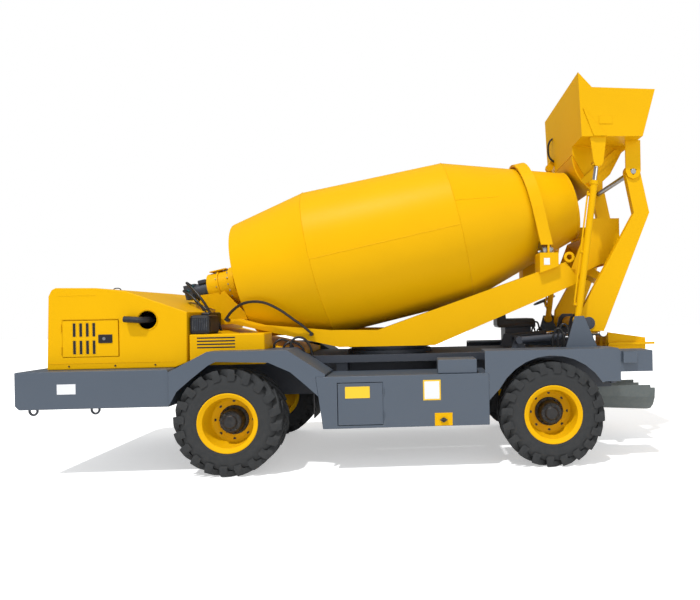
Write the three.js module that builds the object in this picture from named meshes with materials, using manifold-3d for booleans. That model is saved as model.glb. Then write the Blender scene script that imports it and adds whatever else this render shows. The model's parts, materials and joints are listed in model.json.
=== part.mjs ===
// Self-loading concrete mixer truck: a tilted mixing drum on a two-axle chassis,
// with an engine hood at the back and a lifting loader bucket at the front.
// Millimetres, +Z up, +X forwards (towards the drum's mouth), +Y to the left.
// Origin: on the ground, midway between the counterweight and the stowed chutes.

import * as THREE from 'three';
import { mergeVertices } from 'three/addons/utils/BufferGeometryUtils.js';
import Module from 'manifold-3d';

const wasm = await Module();
wasm.setup();

// ---------------------------------------------------------------- driving dimensions

const LENGTH = 6770;            // counterweight to chute tips
const REAR_X = -LENGTH / 2;
const REAR_OVERHANG = 2070;     // counterweight face to rear axle
const WHEELBASE = 3270;
const REAR_AXLE_X = REAR_X + REAR_OVERHANG;
const FRONT_AXLE_X = REAR_AXLE_X + WHEELBASE;
const SEAT_GAP = 0.3;           // between pieces that rest on each other
const RUN_GAP = 6;              // between pieces that move past each other

const TYRE_RADIUS = 537.5;
const TYRE_WIDTH = 380;
const TRACK = 1920;             // between wheel centre planes
const WHEEL_Y = TRACK / 2;
const RIM_FLANGE_RADIUS = 300;
const RIM_SEAT_RADIUS = 262;
const RIM_WALL = 12;
const RIM_HALF_WIDTH = 172;
const DISC_OFFSET = 55;         // disc's inner face, inboard of the wheel plane
const DISC_THICKNESS = 16;
const HUB_RADIUS = 118;
const HUB_LENGTH = 175;
const WHEEL_SEGMENTS = 20;

const KINGPIN_Y = 770;
const AXLE_HALF_HEIGHT = 95;
const AXLE_HALF_WIDTH = 80;
const KNUCKLE_RADIUS = 62;
const KNUCKLE_HALF_HEIGHT = 115;
const EAR_THICKNESS = 34;

const DECK_Z = 1150;            // top of the main frame
const RAIL_BOTTOM_Z = 700;
const DECK_THICKNESS = 80;
const DECK_HALF_WIDTH = 600;
const NOSE_HALF_WIDTH = 500;    // front end of the frame, between the lift arms
const RAIL_OUTER_Y = 320;
const RAIL_THICKNESS = 60;
const BODY_HALF_WIDTH = 1120;   // tanks and fenders
const BODY_PLATE = 16;
const ARCH_RADIUS = 615;        // front wheel arch
const ARCH_CENTRE_Z = 525;
const FENDER_TOP_Z = 1200;

const COUNTER_HALF_WIDTH = 1100;
const COUNTER_BOTTOM_Z = 712;
const COUNTER_TOP_Z = 1085;
const COUNTER_FRONT_X = REAR_AXLE_X - 575;

const TANK_BACK_X = REAR_AXLE_X + 936;
const TANK_FRONT_X = FRONT_AXLE_X - 651;
const TANK_BOTTOM_Z = 450;
const TANK_TOP_Z = 975;
const TANK_INNER_Y = 560;
const TOOLBOX_BACK_X = TANK_BACK_X + 148;
const TOOLBOX_FRONT_X = TANK_BACK_X + 604;
const TOOLBOX_BOTTOM_Z = 478;
const TOOLBOX_TOP_Z = 910;
const TOOLBOX_DEPTH = 380;
const DOOR_THICKNESS = 20;
const DOOR_GAP = 6;

const HOOD_HALF_WIDTH = 920;
const HOOD_WALL = 24;
const HOOD_DOOR_BACK_X = REAR_AXLE_X - 1710;
const HOOD_DOOR_FRONT_X = REAR_AXLE_X - 1150;
const HOOD_DOOR_BOTTOM_Z = 1210;
const HOOD_DOOR_TOP_Z = 1590;
const EXHAUST_X = REAR_AXLE_X - 860;
const EXHAUST_Z = 1580;
const EXHAUST_HOLE_RADIUS = 95;
const EXHAUST_PIPE_RADIUS = 32;

const DRUM_TILT = THREE.MathUtils.degToRad(12.4);
const DRUM_PIVOT_X = REAR_AXLE_X + 1451;
const DRUM_PIVOT_Z = 2356;
const DRUM_RADIUS = 859;
const DRUM_WALL = 14;
const DRUM_SEGMENTS = 36;
const DRUM_HEAD_RADIUS = 679;
const DRUM_HEAD_S = -1553;      // stations along the drum's axis, from its pivot
const DRUM_BODY_BACK_S = -695;
const DRUM_BODY_FRONT_S = 950;
const DRUM_FRONT_RADIUS = 838;  // the body narrows a little towards its front seam
const DRUM_MOUTH_S = 2370;
const DRUM_MOUTH_RADIUS = 405;
const RING_S = 1850;            // riding ring that the rollers carry
const RING_WIDTH = 90;
const RING_RADIUS = 585;
const ROLLER_RADIUS = 110;
const ROLLER_LENGTH = 100;
const ROLLER_ANGLE = THREE.MathUtils.degToRad(45);
const HOOP_GAP = 26;
const HOOP_THICKNESS = 24;
const HOOP_WIDTH = 130;
const HOOP_LEG_DROP = 560;
const GEARBOX_RADIUS = 185;
const GEARBOX_LENGTH = 320;
const MOTOR_LENGTH = 300;
const MOTOR_RADIUS = 105;

const BEAM_OUTER_Y = 590;
const BEAM_THICKNESS = 50;
const RING_GEAR_X = REAR_AXLE_X + 1560;
const RING_GEAR_RADIUS = 500;

const ARM_PIVOT_X = REAR_AXLE_X + 3800;
const ARM_PIVOT_Z = 1450;
const ARM_INNER_Y = 556;
const ARM_OUTER_Y = 636;
const BUCKET_PIN_DX = 530;      // bucket pin from the arm's pivot
const BUCKET_PIN_DZ = 1680;
const KNEE_DX = 624;            // middle of the arm's bend from its pivot
const KNEE_DZ = 1224;
const KNEE_HALF_WIDTH = 86;
const PIN_RADIUS = 30;
const BOSS_RADIUS = 85;
const TORQUE_TUBE_RADIUS = 70;

const BUCKET_HALF_WIDTH = 800;
const BUCKET_WALL = 14;
const THROAT_HALF_WIDTH = 420;
const LUG_THICKNESS = 18;

const TILT_Y = 710;             // plane of the tilt cylinders
const TILT_BASE_X = REAR_AXLE_X + 3657;
const TILT_BASE_Z = 1488;
const TILT_EYE_DX = -430;       // from the bucket pin
const TILT_EYE_DZ = 80;
const BARREL_RADIUS = 45;
const ROD_RADIUS = 24;
const TILT_BARREL_LENGTH = 1540;

const LIFT_Y = 470;             // plane of the lift cylinders
const LIFT_BASE_X = ARM_PIVOT_X - 750;
const LIFT_BASE_Z = 1270;
const LEVER_DX = 210;
const LEVER_DZ = -115;
const LIFT_BARREL_LENGTH = 520;

// ---------------------------------------------------------------- colours

const YELLOW = { color: 0xf7b90c, roughness: 0.38, metalness: 0.1 };
const SLATE = { color: 0x5d6675, roughness: 0.5, metalness: 0.15 };
const DARK_SLATE = { color: 0x2f3846, roughness: 0.55, metalness: 0.2 };
const BLACK = { color: 0x15171a, roughness: 0.6, metalness: 0.1 };
const RUBBER = { color: 0x2b2d31, roughness: 0.85, metalness: 0.0 };
const STEEL = { color: 0xa9adb2, roughness: 0.3, metalness: 0.9 };
const CHROME = { color: 0xd9dce0, roughness: 0.12, metalness: 1.0 };
const CHUTE_GREY = { color: 0x6d7873, roughness: 0.55, metalness: 0.2 };

// ---------------------------------------------------------------- making solids

const NEAR = -1;                // right-hand side, -Y
const FAR = 1;                  // left-hand side, +Y
const SIDES = [[NEAR, 'right'], [FAR, 'left']];

function solid(geometry) {
  const bare = geometry.index ? geometry.toNonIndexed() : geometry.clone();
  bare.deleteAttribute('normal');
  bare.deleteAttribute('uv');
  const merged = mergeVertices(bare, 0.001);
  const vertProperties = new Float32Array(merged.attributes.position.array);
  const triVerts = new Uint32Array(merged.index.array);
  return new wasm.Manifold(new wasm.Mesh({ numProp: 3, vertProperties, triVerts }));
}

function join(first, ...others) {
  return others.reduce((sum, other) => sum.add(other), first);
}

function cut(first, ...others) {
  return others.reduce((rest, other) => rest.subtract(other), first);
}

function toGeometry(manifold) {
  const result = manifold.getMesh();
  const geometry = new THREE.BufferGeometry();
  geometry.setAttribute('position', new THREE.BufferAttribute(result.vertProperties, 3));
  geometry.setIndex(new THREE.BufferAttribute(result.triVerts, 1));
  return geometry;
}

const model = new THREE.Group();

function part(name, manifold, finish, parent = model) {
  const mesh = new THREE.Mesh(toGeometry(manifold), new THREE.MeshStandardMaterial(finish));
  mesh.name = name;
  parent.add(mesh);
  return mesh;
}

function box(x0, x1, y0, y1, z0, z1) {
  const geometry = new THREE.BoxGeometry(x1 - x0, y1 - y0, z1 - z0);
  geometry.translate((x0 + x1) / 2, (y0 + y1) / 2, (z0 + z1) / 2);
  return solid(geometry);
}

// A box between two distances from the middle plane, on one side.
function sideBox(side, x0, x1, inner, outer, z0, z1) {
  return side < 0 ? box(x0, x1, -outer, -inner, z0, z1) : box(x0, x1, inner, outer, z0, z1);
}

// An outline of [x, z] points made into a plate from y0 to y1.
function plate(outline, y0, y1) {
  const shape = new THREE.Shape(outline.map(([x, z]) => new THREE.Vector2(x, z)));
  const geometry = new THREE.ExtrudeGeometry(shape, { depth: y1 - y0, bevelEnabled: false });
  geometry.rotateX(Math.PI / 2);
  geometry.translate(0, y1, 0);
  return solid(geometry);
}

function sidePlate(side, outline, inner, outer) {
  return side < 0 ? plate(outline, -outer, -inner) : plate(outline, inner, outer);
}

// A round bar between two points.
function bar(from, to, radius, segments = 20) {
  const start = new THREE.Vector3(...from);
  const end = new THREE.Vector3(...to);
  const geometry = new THREE.CylinderGeometry(radius, radius, start.distanceTo(end), segments);
  const along = end.clone().sub(start).normalize();
  const turn = new THREE.Quaternion().setFromUnitVectors(new THREE.Vector3(0, 1, 0), along);
  geometry.applyQuaternion(turn);
  geometry.translate(...start.add(end).multiplyScalar(0.5).toArray());
  return solid(geometry);
}

// Radius of a faceted bore that a faceted bar of one radius can turn in.
function boreRadius(radius, segments) {
  return (radius + SEAT_GAP) / Math.cos(Math.PI / segments);
}

// A disc across the vehicle at [x, z], between two distances from the middle plane.
function disc(side, x, z, radius, inner, outer, segments = 20) {
  return bar([x, side * inner, z], [x, side * outer, z], radius, segments);
}

// A closed run of [station, radius] points turned about the X axis, with a flat underneath.
function turned(profile, segments) {
  const points = profile.map(([station, radius]) => new THREE.Vector2(radius, station));
  const ordered = THREE.ShapeUtils.area(points) > 0 ? points : points.reverse();
  const geometry = new THREE.LatheGeometry(ordered, segments, Math.PI / segments);
  geometry.rotateZ(-Math.PI / 2);
  return solid(geometry);
}

// The points of a round-ended link between two centres, as an [x, z] outline.
function linkOutline([ax, az], [bx, bz], radius, steps = 8) {
  const along = Math.atan2(bz - az, bx - ax);
  const arc = (cx, cz, start) => Array.from({ length: steps + 1 }, (_, i) => {
    const angle = start + (Math.PI * i) / steps;
    return [cx + radius * Math.cos(angle), cz + radius * Math.sin(angle)];
  });
  return [...arc(bx, bz, along - Math.PI / 2), ...arc(ax, az, along + Math.PI / 2)];
}

// Hose that is held along its whole route: points joined by one smooth curve.
function hose(points, radius, steps) {
  const curve = new THREE.CatmullRomCurve3(points.map((point) => new THREE.Vector3(...point)));
  const section = new THREE.Shape();
  section.absarc(0, 0, radius, 0, Math.PI * 2, false);
  const geometry = new THREE.ExtrudeGeometry(section, {
    extrudePath: curve, steps, curveSegments: 4, bevelEnabled: false,
  });
  return solid(geometry);
}

// Points given from an axle's X and the ground, as an [x, z] outline.
function from(originX, points) {
  return points.map(([x, z]) => [originX + x, z]);
}

// ---------------------------------------------------------------- chassis

function chassisFrame() {
  const railBack = COUNTER_FRONT_X + SEAT_GAP;
  const frontX = REAR_AXLE_X + 4150;
  const narrowX = REAR_AXLE_X + 3400;
  const deckBottom = DECK_Z - DECK_THICKNESS;
  const rails = SIDES.map(([side]) => sideBox(side, railBack, frontX,
    RAIL_OUTER_Y - RAIL_THICKNESS, RAIL_OUTER_Y, RAIL_BOTTOM_Z, deckBottom + 1));
  const deckBackX = REAR_AXLE_X - 455;
  const deck = box(deckBackX, narrowX, -DECK_HALF_WIDTH, DECK_HALF_WIDTH, deckBottom, DECK_Z);
  const nose = box(narrowX - 1, frontX, -NOSE_HALF_WIDTH, NOSE_HALF_WIDTH, deckBottom, DECK_Z);
  const crosses = [1000, 2500].map((x) => box(REAR_AXLE_X + x, REAR_AXLE_X + x + 120,
    -TANK_INNER_Y + SEAT_GAP, TANK_INNER_Y - SEAT_GAP, RAIL_BOTTOM_Z + 40, deckBottom + 1));
  const frontCross = box(frontX - 60, frontX, -NOSE_HALF_WIDTH, NOSE_HALF_WIDTH, 760, DECK_Z);
  return join(deck, nose, frontCross, ...rails, ...crosses, ...armPedestals(), ...liftBrackets());
}

// Plates that carry the lift arms' torque tube.
function armPedestals() {
  const outline = [[-190, DECK_Z - 1 - ARM_PIVOT_Z], [190, DECK_Z - 1 - ARM_PIVOT_Z], [105, 60],
    [60, 105], [-60, 105], [-105, 60]];
  const points = outline.map(([x, z]) => [ARM_PIVOT_X + x, ARM_PIVOT_Z + z]);
  const bore = bar([ARM_PIVOT_X, -300, ARM_PIVOT_Z], [ARM_PIVOT_X, 300, ARM_PIVOT_Z],
    boreRadius(TORQUE_TUBE_RADIUS, 24), 24);
  return SIDES.map(([side]) => cut(sidePlate(side, points, 250, 290), bore));
}

// Ears that hold the lift cylinders' base pins, either side of each cylinder's eye.
function liftBrackets() {
  const points = [[-90, DECK_Z - 1 - LIFT_BASE_Z], [90, DECK_Z - 1 - LIFT_BASE_Z], [40, 40], [-40, 40]]
    .map(([x, z]) => [LIFT_BASE_X + x, LIFT_BASE_Z + z]);
  return SIDES.map(([side]) => {
    const inner = LIFT_Y - BARREL_RADIUS - LUG_THICKNESS - SEAT_GAP;
    return sidePlate(side, points, inner, inner + LUG_THICKNESS);
  });
}

function counterweight() {
  const chamfer = 40;
  const outline = [[REAR_X, COUNTER_BOTTOM_Z + chamfer], [REAR_X + chamfer, COUNTER_BOTTOM_Z],
    [COUNTER_FRONT_X, COUNTER_BOTTOM_Z], [COUNTER_FRONT_X, COUNTER_TOP_Z - 40],
    [COUNTER_FRONT_X - 25, COUNTER_TOP_Z], [REAR_X, COUNTER_TOP_Z]];
  return plate(outline, -COUNTER_HALF_WIDTH, COUNTER_HALF_WIDTH);
}

// Sheet of one thickness under a bent top line.
function bentSheet(line, thickness) {
  return [...line, ...line.map(([x, z]) => [x, z - thickness]).reverse()];
}

function tankBackX(z) {
  const lean = 66;
  return TANK_BACK_X - (lean * (z - TANK_BOTTOM_Z)) / (TANK_TOP_Z - TANK_BOTTOM_Z);
}

function rearFender(side) {
  const back = COUNTER_FRONT_X + SEAT_GAP - REAR_AXLE_X;
  const foot = TANK_TOP_Z + SEAT_GAP;
  const topLine = from(REAR_AXLE_X, [[back, 1060], [-200, 1250], [590, 1254], [966, 1000]]);
  const arch = from(REAR_AXLE_X, [[766, 900], [620, 1030], [404, 1130], [-116, 1150], [-195, 1110],
    [-363, 977], [-500, 860], [back, 722]]);
  const tankEdge = [[REAR_AXLE_X + 966, foot], [tankBackX(foot) - SEAT_GAP, foot],
    [tankBackX(780) - SEAT_GAP, 780]];
  const outer = BODY_HALF_WIDTH;
  const face = sidePlate(side, [...topLine, ...tankEdge, ...arch], outer - BODY_PLATE, outer);
  const sheet = sidePlate(side, bentSheet(topLine, BODY_PLATE), DECK_HALF_WIDTH + 8, outer - 1);
  return join(face, sheet);
}

function sideTank(side) {
  const outline = [[tankBackX(TANK_TOP_Z), TANK_TOP_Z], [TANK_BACK_X, TANK_BOTTOM_Z],
    [TANK_FRONT_X, TANK_BOTTOM_Z], [TANK_FRONT_X, TANK_TOP_Z]];
  const tank = sidePlate(side, outline, TANK_INNER_Y, BODY_HALF_WIDTH);
  if (side !== NEAR) {
    return tank;
  }
  const cavity = sideBox(side, TOOLBOX_BACK_X, TOOLBOX_FRONT_X,
    BODY_HALF_WIDTH - TOOLBOX_DEPTH, BODY_HALF_WIDTH + 10, TOOLBOX_BOTTOM_Z, TOOLBOX_TOP_Z);
  return cut(tank, cavity);
}

function toolboxDoor() {
  return sideBox(NEAR, TOOLBOX_BACK_X + DOOR_GAP, TOOLBOX_FRONT_X - SEAT_GAP,
    BODY_HALF_WIDTH - DOOR_THICKNESS, BODY_HALF_WIDTH,
    TOOLBOX_BOTTOM_Z + DOOR_GAP, TOOLBOX_TOP_Z - DOOR_GAP);
}

// Points on the front wheel arch between two angles in degrees, from the front axle's X.
function archPoints(start, end) {
  const steps = 10;
  return Array.from({ length: steps + 1 }, (_, i) => {
    const angle = THREE.MathUtils.degToRad(start + ((end - start) * i) / steps);
    return [ARCH_RADIUS * Math.cos(angle), ARCH_CENTRE_Z + ARCH_RADIUS * Math.sin(angle)];
  });
}

function frontFender(side) {
  const foot = TANK_TOP_Z + SEAT_GAP;
  const tankGap = TANK_FRONT_X + SEAT_GAP - FRONT_AXLE_X;
  const outline = from(FRONT_AXLE_X, [[-690, foot], [-690, FENDER_TOP_Z], [680, FENDER_TOP_Z],
    [710, 1170], [710, 862], [548, 862], ...archPoints(32, 152), [tankGap, 700], [tankGap, foot]]);
  const face = sidePlate(side, outline, BODY_HALF_WIDTH - BODY_PLATE, BODY_HALF_WIDTH);
  const inner = TILT_Y + BARREL_RADIUS + 7;
  const sheet = sideBox(side, FRONT_AXLE_X - 690, FRONT_AXLE_X + 690,
    inner, BODY_HALF_WIDTH - 1, FENDER_TOP_Z - BODY_PLATE, FENDER_TOP_Z);
  const wing = sideBox(side, FRONT_AXLE_X + 680, REAR_AXLE_X + 4320, 800,
    BODY_HALF_WIDTH - BODY_PLATE + 1, 955, 1170);
  const lamp = sideBox(side, FRONT_AXLE_X + 730, FRONT_AXLE_X + 870, 1060, 1148, 1050, 1165);
  const bracketFoot = FENDER_TOP_Z - 1 - TILT_BASE_Z;
  const bracketOutline = [[-150, bracketFoot], [190, bracketFoot], [50, 45], [-50, 45]]
    .map(([x, z]) => [TILT_BASE_X + x, TILT_BASE_Z + z]);
  const bracket = sidePlate(side, bracketOutline, inner, inner + LUG_THICKNESS);
  return join(face, sheet, wing, lamp, bracket);
}

// Half-round chute extensions stowed under the front, one inside the other.
function stowedChutes() {
  const start = REAR_AXLE_X + 3930;
  const end = REAR_X + LENGTH;
  const trough = (radius, drop, z, tail, tip) => {
    const outer = bar([tail, 0, z], [tip, 0, z - drop], radius, 16);
    const inner = bar([tail - 20, 0, z + 1], [tip + 20, 0, z - drop + 1], radius - 8, 16);
    const lid = box(tail - 50, tip + 50, -400, 400, z - 1, z + 400);
    const beyond = box(tip - 12, tip + 100, -400, 400, 0, z + 400);
    return cut(outer, inner, lid, beyond);
  };
  const upper = trough(270, 40, 700, start, end - 48);
  const hangerReach = RAIL_OUTER_Y - RAIL_THICKNESS - SEAT_GAP;
  const hanger = box(REAR_AXLE_X + 4092, REAR_AXLE_X + 4148, -hangerReach, hangerReach,
    640, 760 - SEAT_GAP);
  return join(upper, trough(255, 40, 664, start + 60, end + 12), hanger);
}

// ---------------------------------------------------------------- hood and engine

function hoodOutline(inset) {
  const bottom = COUNTER_TOP_Z + SEAT_GAP;
  const back = REAR_AXLE_X - 1867 + inset;
  const front = REAR_AXLE_X - 461 - inset;
  const low = inset > 0 ? bottom - 60 : bottom;
  return [[back, low], [back + 24, 1843 - inset * 0.4], [back + 54, 1903 - inset * 0.8],
    [back + 94, 1923 - inset], [REAR_AXLE_X - 1377, 1916 - inset], [REAR_AXLE_X - 1078, 1881 - inset],
    [front, 1654 - inset], [front - 9, inset > 0 ? low : 1135], [REAR_AXLE_X - 590, low]];
}

function hoodShell() {
  const outer = plate(hoodOutline(0), -HOOD_HALF_WIDTH, HOOD_HALF_WIDTH);
  const inside = HOOD_HALF_WIDTH - HOOD_WALL;
  const hollow = plate(hoodOutline(HOOD_WALL), -inside, inside);
  const doorways = box(HOOD_DOOR_BACK_X, HOOD_DOOR_FRONT_X, -HOOD_HALF_WIDTH - 10,
    HOOD_HALF_WIDTH + 10, HOOD_DOOR_BOTTOM_Z, HOOD_DOOR_TOP_Z);
  const pipeHole = disc(NEAR, EXHAUST_X, EXHAUST_Z, EXHAUST_HOLE_RADIUS, inside - 20, HOOD_HALF_WIDTH + 10);
  return cut(outer, hollow, doorways, pipeHole);
}

function hoodDoor(side) {
  return sideBox(side, HOOD_DOOR_BACK_X + SEAT_GAP, HOOD_DOOR_FRONT_X - DOOR_GAP,
    HOOD_HALF_WIDTH - HOOD_WALL, HOOD_HALF_WIDTH,
    HOOD_DOOR_BOTTOM_Z + DOOR_GAP, HOOD_DOOR_TOP_Z - DOOR_GAP);
}

const ENGINE_HALF_WIDTH = 320;

function engineBlock() {
  return box(REAR_AXLE_X - 1620, REAR_AXLE_X - 720, -ENGINE_HALF_WIDTH, ENGINE_HALF_WIDTH,
    COUNTER_TOP_Z + SEAT_GAP, 1640);
}

function exhaustPipe() {
  const mouth = HOOD_HALF_WIDTH + 45;
  const route = [[EXHAUST_X, -ENGINE_HALF_WIDTH - SEAT_GAP, EXHAUST_Z],
    [EXHAUST_X, -mouth + 130, EXHAUST_Z], [EXHAUST_X, -mouth + 60, EXHAUST_Z],
    [EXHAUST_X - 30, -mouth + 8, EXHAUST_Z], [EXHAUST_X - 100, -mouth, EXHAUST_Z + 4],
    [EXHAUST_X - 210, -mouth, EXHAUST_Z + 12]];
  return hose(route, EXHAUST_PIPE_RADIUS, 16);
}

function oilCooler() {
  const back = REAR_AXLE_X - 461 + SEAT_GAP;
  return box(back, back + 100, -560, -200, 1455, 1650);
}

function pumpHood() {
  const floor = DECK_Z + SEAT_GAP;
  const outline = from(REAR_AXLE_X, [[-450, floor], [-450, 1450], [-360, 1450], [100, 1330],
    [630, 1200], [630, floor]]);
  return plate(outline, -DECK_HALF_WIDTH + 10, DECK_HALF_WIDTH - 10);
}

// ---------------------------------------------------------------- drum

const tilted = new THREE.Group();
tilted.position.set(DRUM_PIVOT_X, 0, DRUM_PIVOT_Z);
tilted.rotation.y = -DRUM_TILT;
model.add(tilted);

// Moves a solid from the drum's own frame (axis along X) into the vehicle's.
function tiltedSolid(manifold) {
  const tilt = new THREE.Matrix4().makeRotationY(-DRUM_TILT);
  tilt.setPosition(DRUM_PIVOT_X, 0, DRUM_PIVOT_Z);
  return manifold.transform(tilt.elements);
}

const DRUM_BOSS_S = DRUM_HEAD_S - 150;
const CONE_SLOPE = (DRUM_FRONT_RADIUS - DRUM_MOUTH_RADIUS) / (DRUM_MOUTH_S - DRUM_BODY_FRONT_S);

function coneRadius(station) {
  return DRUM_FRONT_RADIUS - CONE_SLOPE * (station - DRUM_BODY_FRONT_S);
}

function drumShell() {
  const ringBack = RING_S - RING_WIDTH / 2;
  const ringFront = RING_S + RING_WIDTH / 2;
  const outside = [[DRUM_BOSS_S, 0], [DRUM_BOSS_S, 150], [DRUM_HEAD_S, 170],
    [DRUM_HEAD_S, DRUM_HEAD_RADIUS], [DRUM_BODY_BACK_S, DRUM_RADIUS],
    [DRUM_BODY_FRONT_S, DRUM_FRONT_RADIUS],
    [ringBack, coneRadius(ringBack)], [ringBack, RING_RADIUS], [ringFront, RING_RADIUS],
    [ringFront, coneRadius(ringFront)], [DRUM_MOUTH_S, DRUM_MOUTH_RADIUS]];
  const inside = [[DRUM_MOUTH_S, DRUM_MOUTH_RADIUS - DRUM_WALL],
    [DRUM_BODY_FRONT_S, DRUM_FRONT_RADIUS - DRUM_WALL],
    [DRUM_BODY_BACK_S, DRUM_RADIUS - DRUM_WALL], [DRUM_HEAD_S + DRUM_WALL, DRUM_HEAD_RADIUS - DRUM_WALL],
    [DRUM_HEAD_S + DRUM_WALL, 0]];
  return turned([...outside, ...inside], DRUM_SEGMENTS);
}

function gearbox() {
  const start = DRUM_BOSS_S - SEAT_GAP;
  const housing = join(bar([start - 60, 0, 0], [start, 0, 0], GEARBOX_RADIUS + 25, 24),
    bar([start - GEARBOX_LENGTH, 0, 0], [start - 55, 0, 0], GEARBOX_RADIUS, 24));
  return join(tiltedSolid(housing), gearboxBed());
}

function hydraulicMotor() {
  const start = DRUM_BOSS_S - SEAT_GAP - GEARBOX_LENGTH - SEAT_GAP;
  return join(bar([start - MOTOR_LENGTH * 0.6, 0, 0], [start, 0, 0], MOTOR_RADIUS, 20),
    box(start - MOTOR_LENGTH, start - MOTOR_LENGTH * 0.55, -80, 80, -60, 110));
}

const ROLLER_OFFSET = RING_RADIUS + SEAT_GAP + ROLLER_RADIUS;
const ROLLER_Y = ROLLER_OFFSET * Math.sin(ROLLER_ANGLE);
const ROLLER_DROP = ROLLER_OFFSET * Math.cos(ROLLER_ANGLE);
const ROLLER_SHAFT_RADIUS = 25;

function roller(side) {
  const y = side * ROLLER_Y;
  const half = ROLLER_LENGTH / 2;
  const end = half + 40;
  return join(bar([RING_S - half, y, -ROLLER_DROP], [RING_S + half, y, -ROLLER_DROP], ROLLER_RADIUS, 20),
    bar([RING_S - end, y, -ROLLER_DROP], [RING_S + end, y, -ROLLER_DROP], ROLLER_SHAFT_RADIUS, 16));
}

const ROLLER_BOX_BACK_X = REAR_AXLE_X + 3265;
const ROLLER_BOX_FRONT_X = REAR_AXLE_X + 3475;
const ROLLER_BOX_TOP_Z = 2240;

function beamTop(x) {
  const [[x0, z0], [x1, z1]] = from(REAR_AXLE_X, [[1462, 1420], [3570, 2140]]);
  return z0 + ((z1 - z0) * (x - x0)) / (x1 - x0);
}

// A drum beam with the box on its front end that holds a roller.
function drumBeam(side) {
  const overlap = 20;
  const outline = [[ROLLER_BOX_BACK_X, beamTop(ROLLER_BOX_BACK_X) - overlap],
    [ROLLER_BOX_FRONT_X, beamTop(ROLLER_BOX_FRONT_X) - overlap],
    [ROLLER_BOX_FRONT_X, ROLLER_BOX_TOP_Z], [ROLLER_BOX_BACK_X, ROLLER_BOX_TOP_Z]];
  const block = join(sidePlate(side, outline, 380, 650), beamPlate(side));
  const y = side * ROLLER_Y;
  const half = ROLLER_LENGTH / 2 + RUN_GAP;
  const pocket = bar([RING_S - half, y, -ROLLER_DROP], [RING_S + half, y, -ROLLER_DROP],
    ROLLER_RADIUS + RUN_GAP, 20);
  const bore = bar([RING_S - 300, y, -ROLLER_DROP], [RING_S + 300, y, -ROLLER_DROP],
    boreRadius(ROLLER_SHAFT_RADIUS, 16), 16);
  const drumRoom = bar([RING_S - 400, 0, 0], [RING_S + 400, 0, 0], RING_RADIUS + RUN_GAP, DRUM_SEGMENTS);
  return cut(block, tiltedSolid(pocket), tiltedSolid(bore), tiltedSolid(drumRoom));
}

function hoop() {
  const inner = RING_RADIUS + HOOP_GAP;
  const outer = inner + HOOP_THICKNESS;
  const half = HOOP_WIDTH / 2;
  const band = cut(bar([RING_S - half, 0, 0], [RING_S + half, 0, 0], outer, DRUM_SEGMENTS),
    bar([RING_S - half - 5, 0, 0], [RING_S + half + 5, 0, 0], inner, DRUM_SEGMENTS),
    box(RING_S - 200, RING_S + 200, -outer - 5, outer + 5, -outer - 5, 0));
  const legs = SIDES.map(([side]) => sideBox(side, RING_S - half, RING_S + half, inner, outer,
    -HOOP_LEG_DROP, 1));
  const whole = tiltedSolid(join(band, ...legs));
  const foot = box(REAR_AXLE_X + 2900, REAR_AXLE_X + 3800, -900, 900, 1800, ROLLER_BOX_TOP_Z + 90);
  const strap = cut(whole, foot);
  const middleX = (ROLLER_BOX_BACK_X + ROLLER_BOX_FRONT_X) / 2;
  const boltY = inner + HOOP_THICKNESS / 2;
  const bolts = SIDES.map(([side]) => bar([middleX, side * boltY, ROLLER_BOX_TOP_Z + SEAT_GAP],
    [middleX, side * boltY, ROLLER_BOX_TOP_Z + 95], 14, 12));
  return join(strap, ...bolts);
}

function beamPlate(side) {
  const top = [[-40, 1575], [227, 1500], [934, 1430], [1462, 1420], [3570, 2140]];
  const bottom = [[3736, 1914], [2090, DECK_Z + 90], [1040, DECK_Z + 90], [-204, 1541]];
  return sidePlate(side, from(REAR_AXLE_X, [...top, ...bottom]), BEAM_OUTER_Y - BEAM_THICKNESS, BEAM_OUTER_Y);
}

const CROSS_REACH = BEAM_OUTER_Y - BEAM_THICKNESS - SEAT_GAP;
const FRONT_CROSS_X = REAR_AXLE_X + 3690;

// Cheeks and cross piece that carry the gearbox between the beams' back ends.
function gearboxBed() {
  const rear = box(REAR_AXLE_X - 150, REAR_AXLE_X - 60, -CROSS_REACH, CROSS_REACH, 1525, 1565);
  const outline = from(REAR_AXLE_X, [[-610, 1850], [-610, 1745], [-440, 1680], [-440, 1500], [-61, 1526],
    [-100, 1640], [-330, 1890]]);
  const cheeks = SIDES.map(([side]) => sidePlate(side, outline, 150, 175));
  const boss = bar([DRUM_BOSS_S - SEAT_GAP, 0, 0], [DRUM_BOSS_S + 20, 0, 0],
    GEARBOX_RADIUS + 25 + RUN_GAP, 24);
  return cut(join(rear, ...cheeks), tiltedSolid(boss));
}

function turntable() {
  const top = DECK_Z + 90 - SEAT_GAP;
  const low = DECK_Z + SEAT_GAP;
  const at = (z0, z1, radius) => bar([RING_GEAR_X, 0, z0], [RING_GEAR_X, 0, z1], radius, 28);
  const bolster = box(REAR_AXLE_X + 1080, REAR_AXLE_X + 2050, -CROSS_REACH, CROSS_REACH, top, DECK_Z + 150);
  return join(at(low, low + 35, RING_GEAR_RADIUS), at(low + 30, top - 25, RING_GEAR_RADIUS - 70),
    at(top - 30, top + 1, RING_GEAR_RADIUS - 10), bolster);
}

const HOPPER_HALF_WIDTH = 350;
const HOPPER_WALL = 10;
const CHUTE_PIVOT_X = REAR_AXLE_X + 3880;

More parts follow.
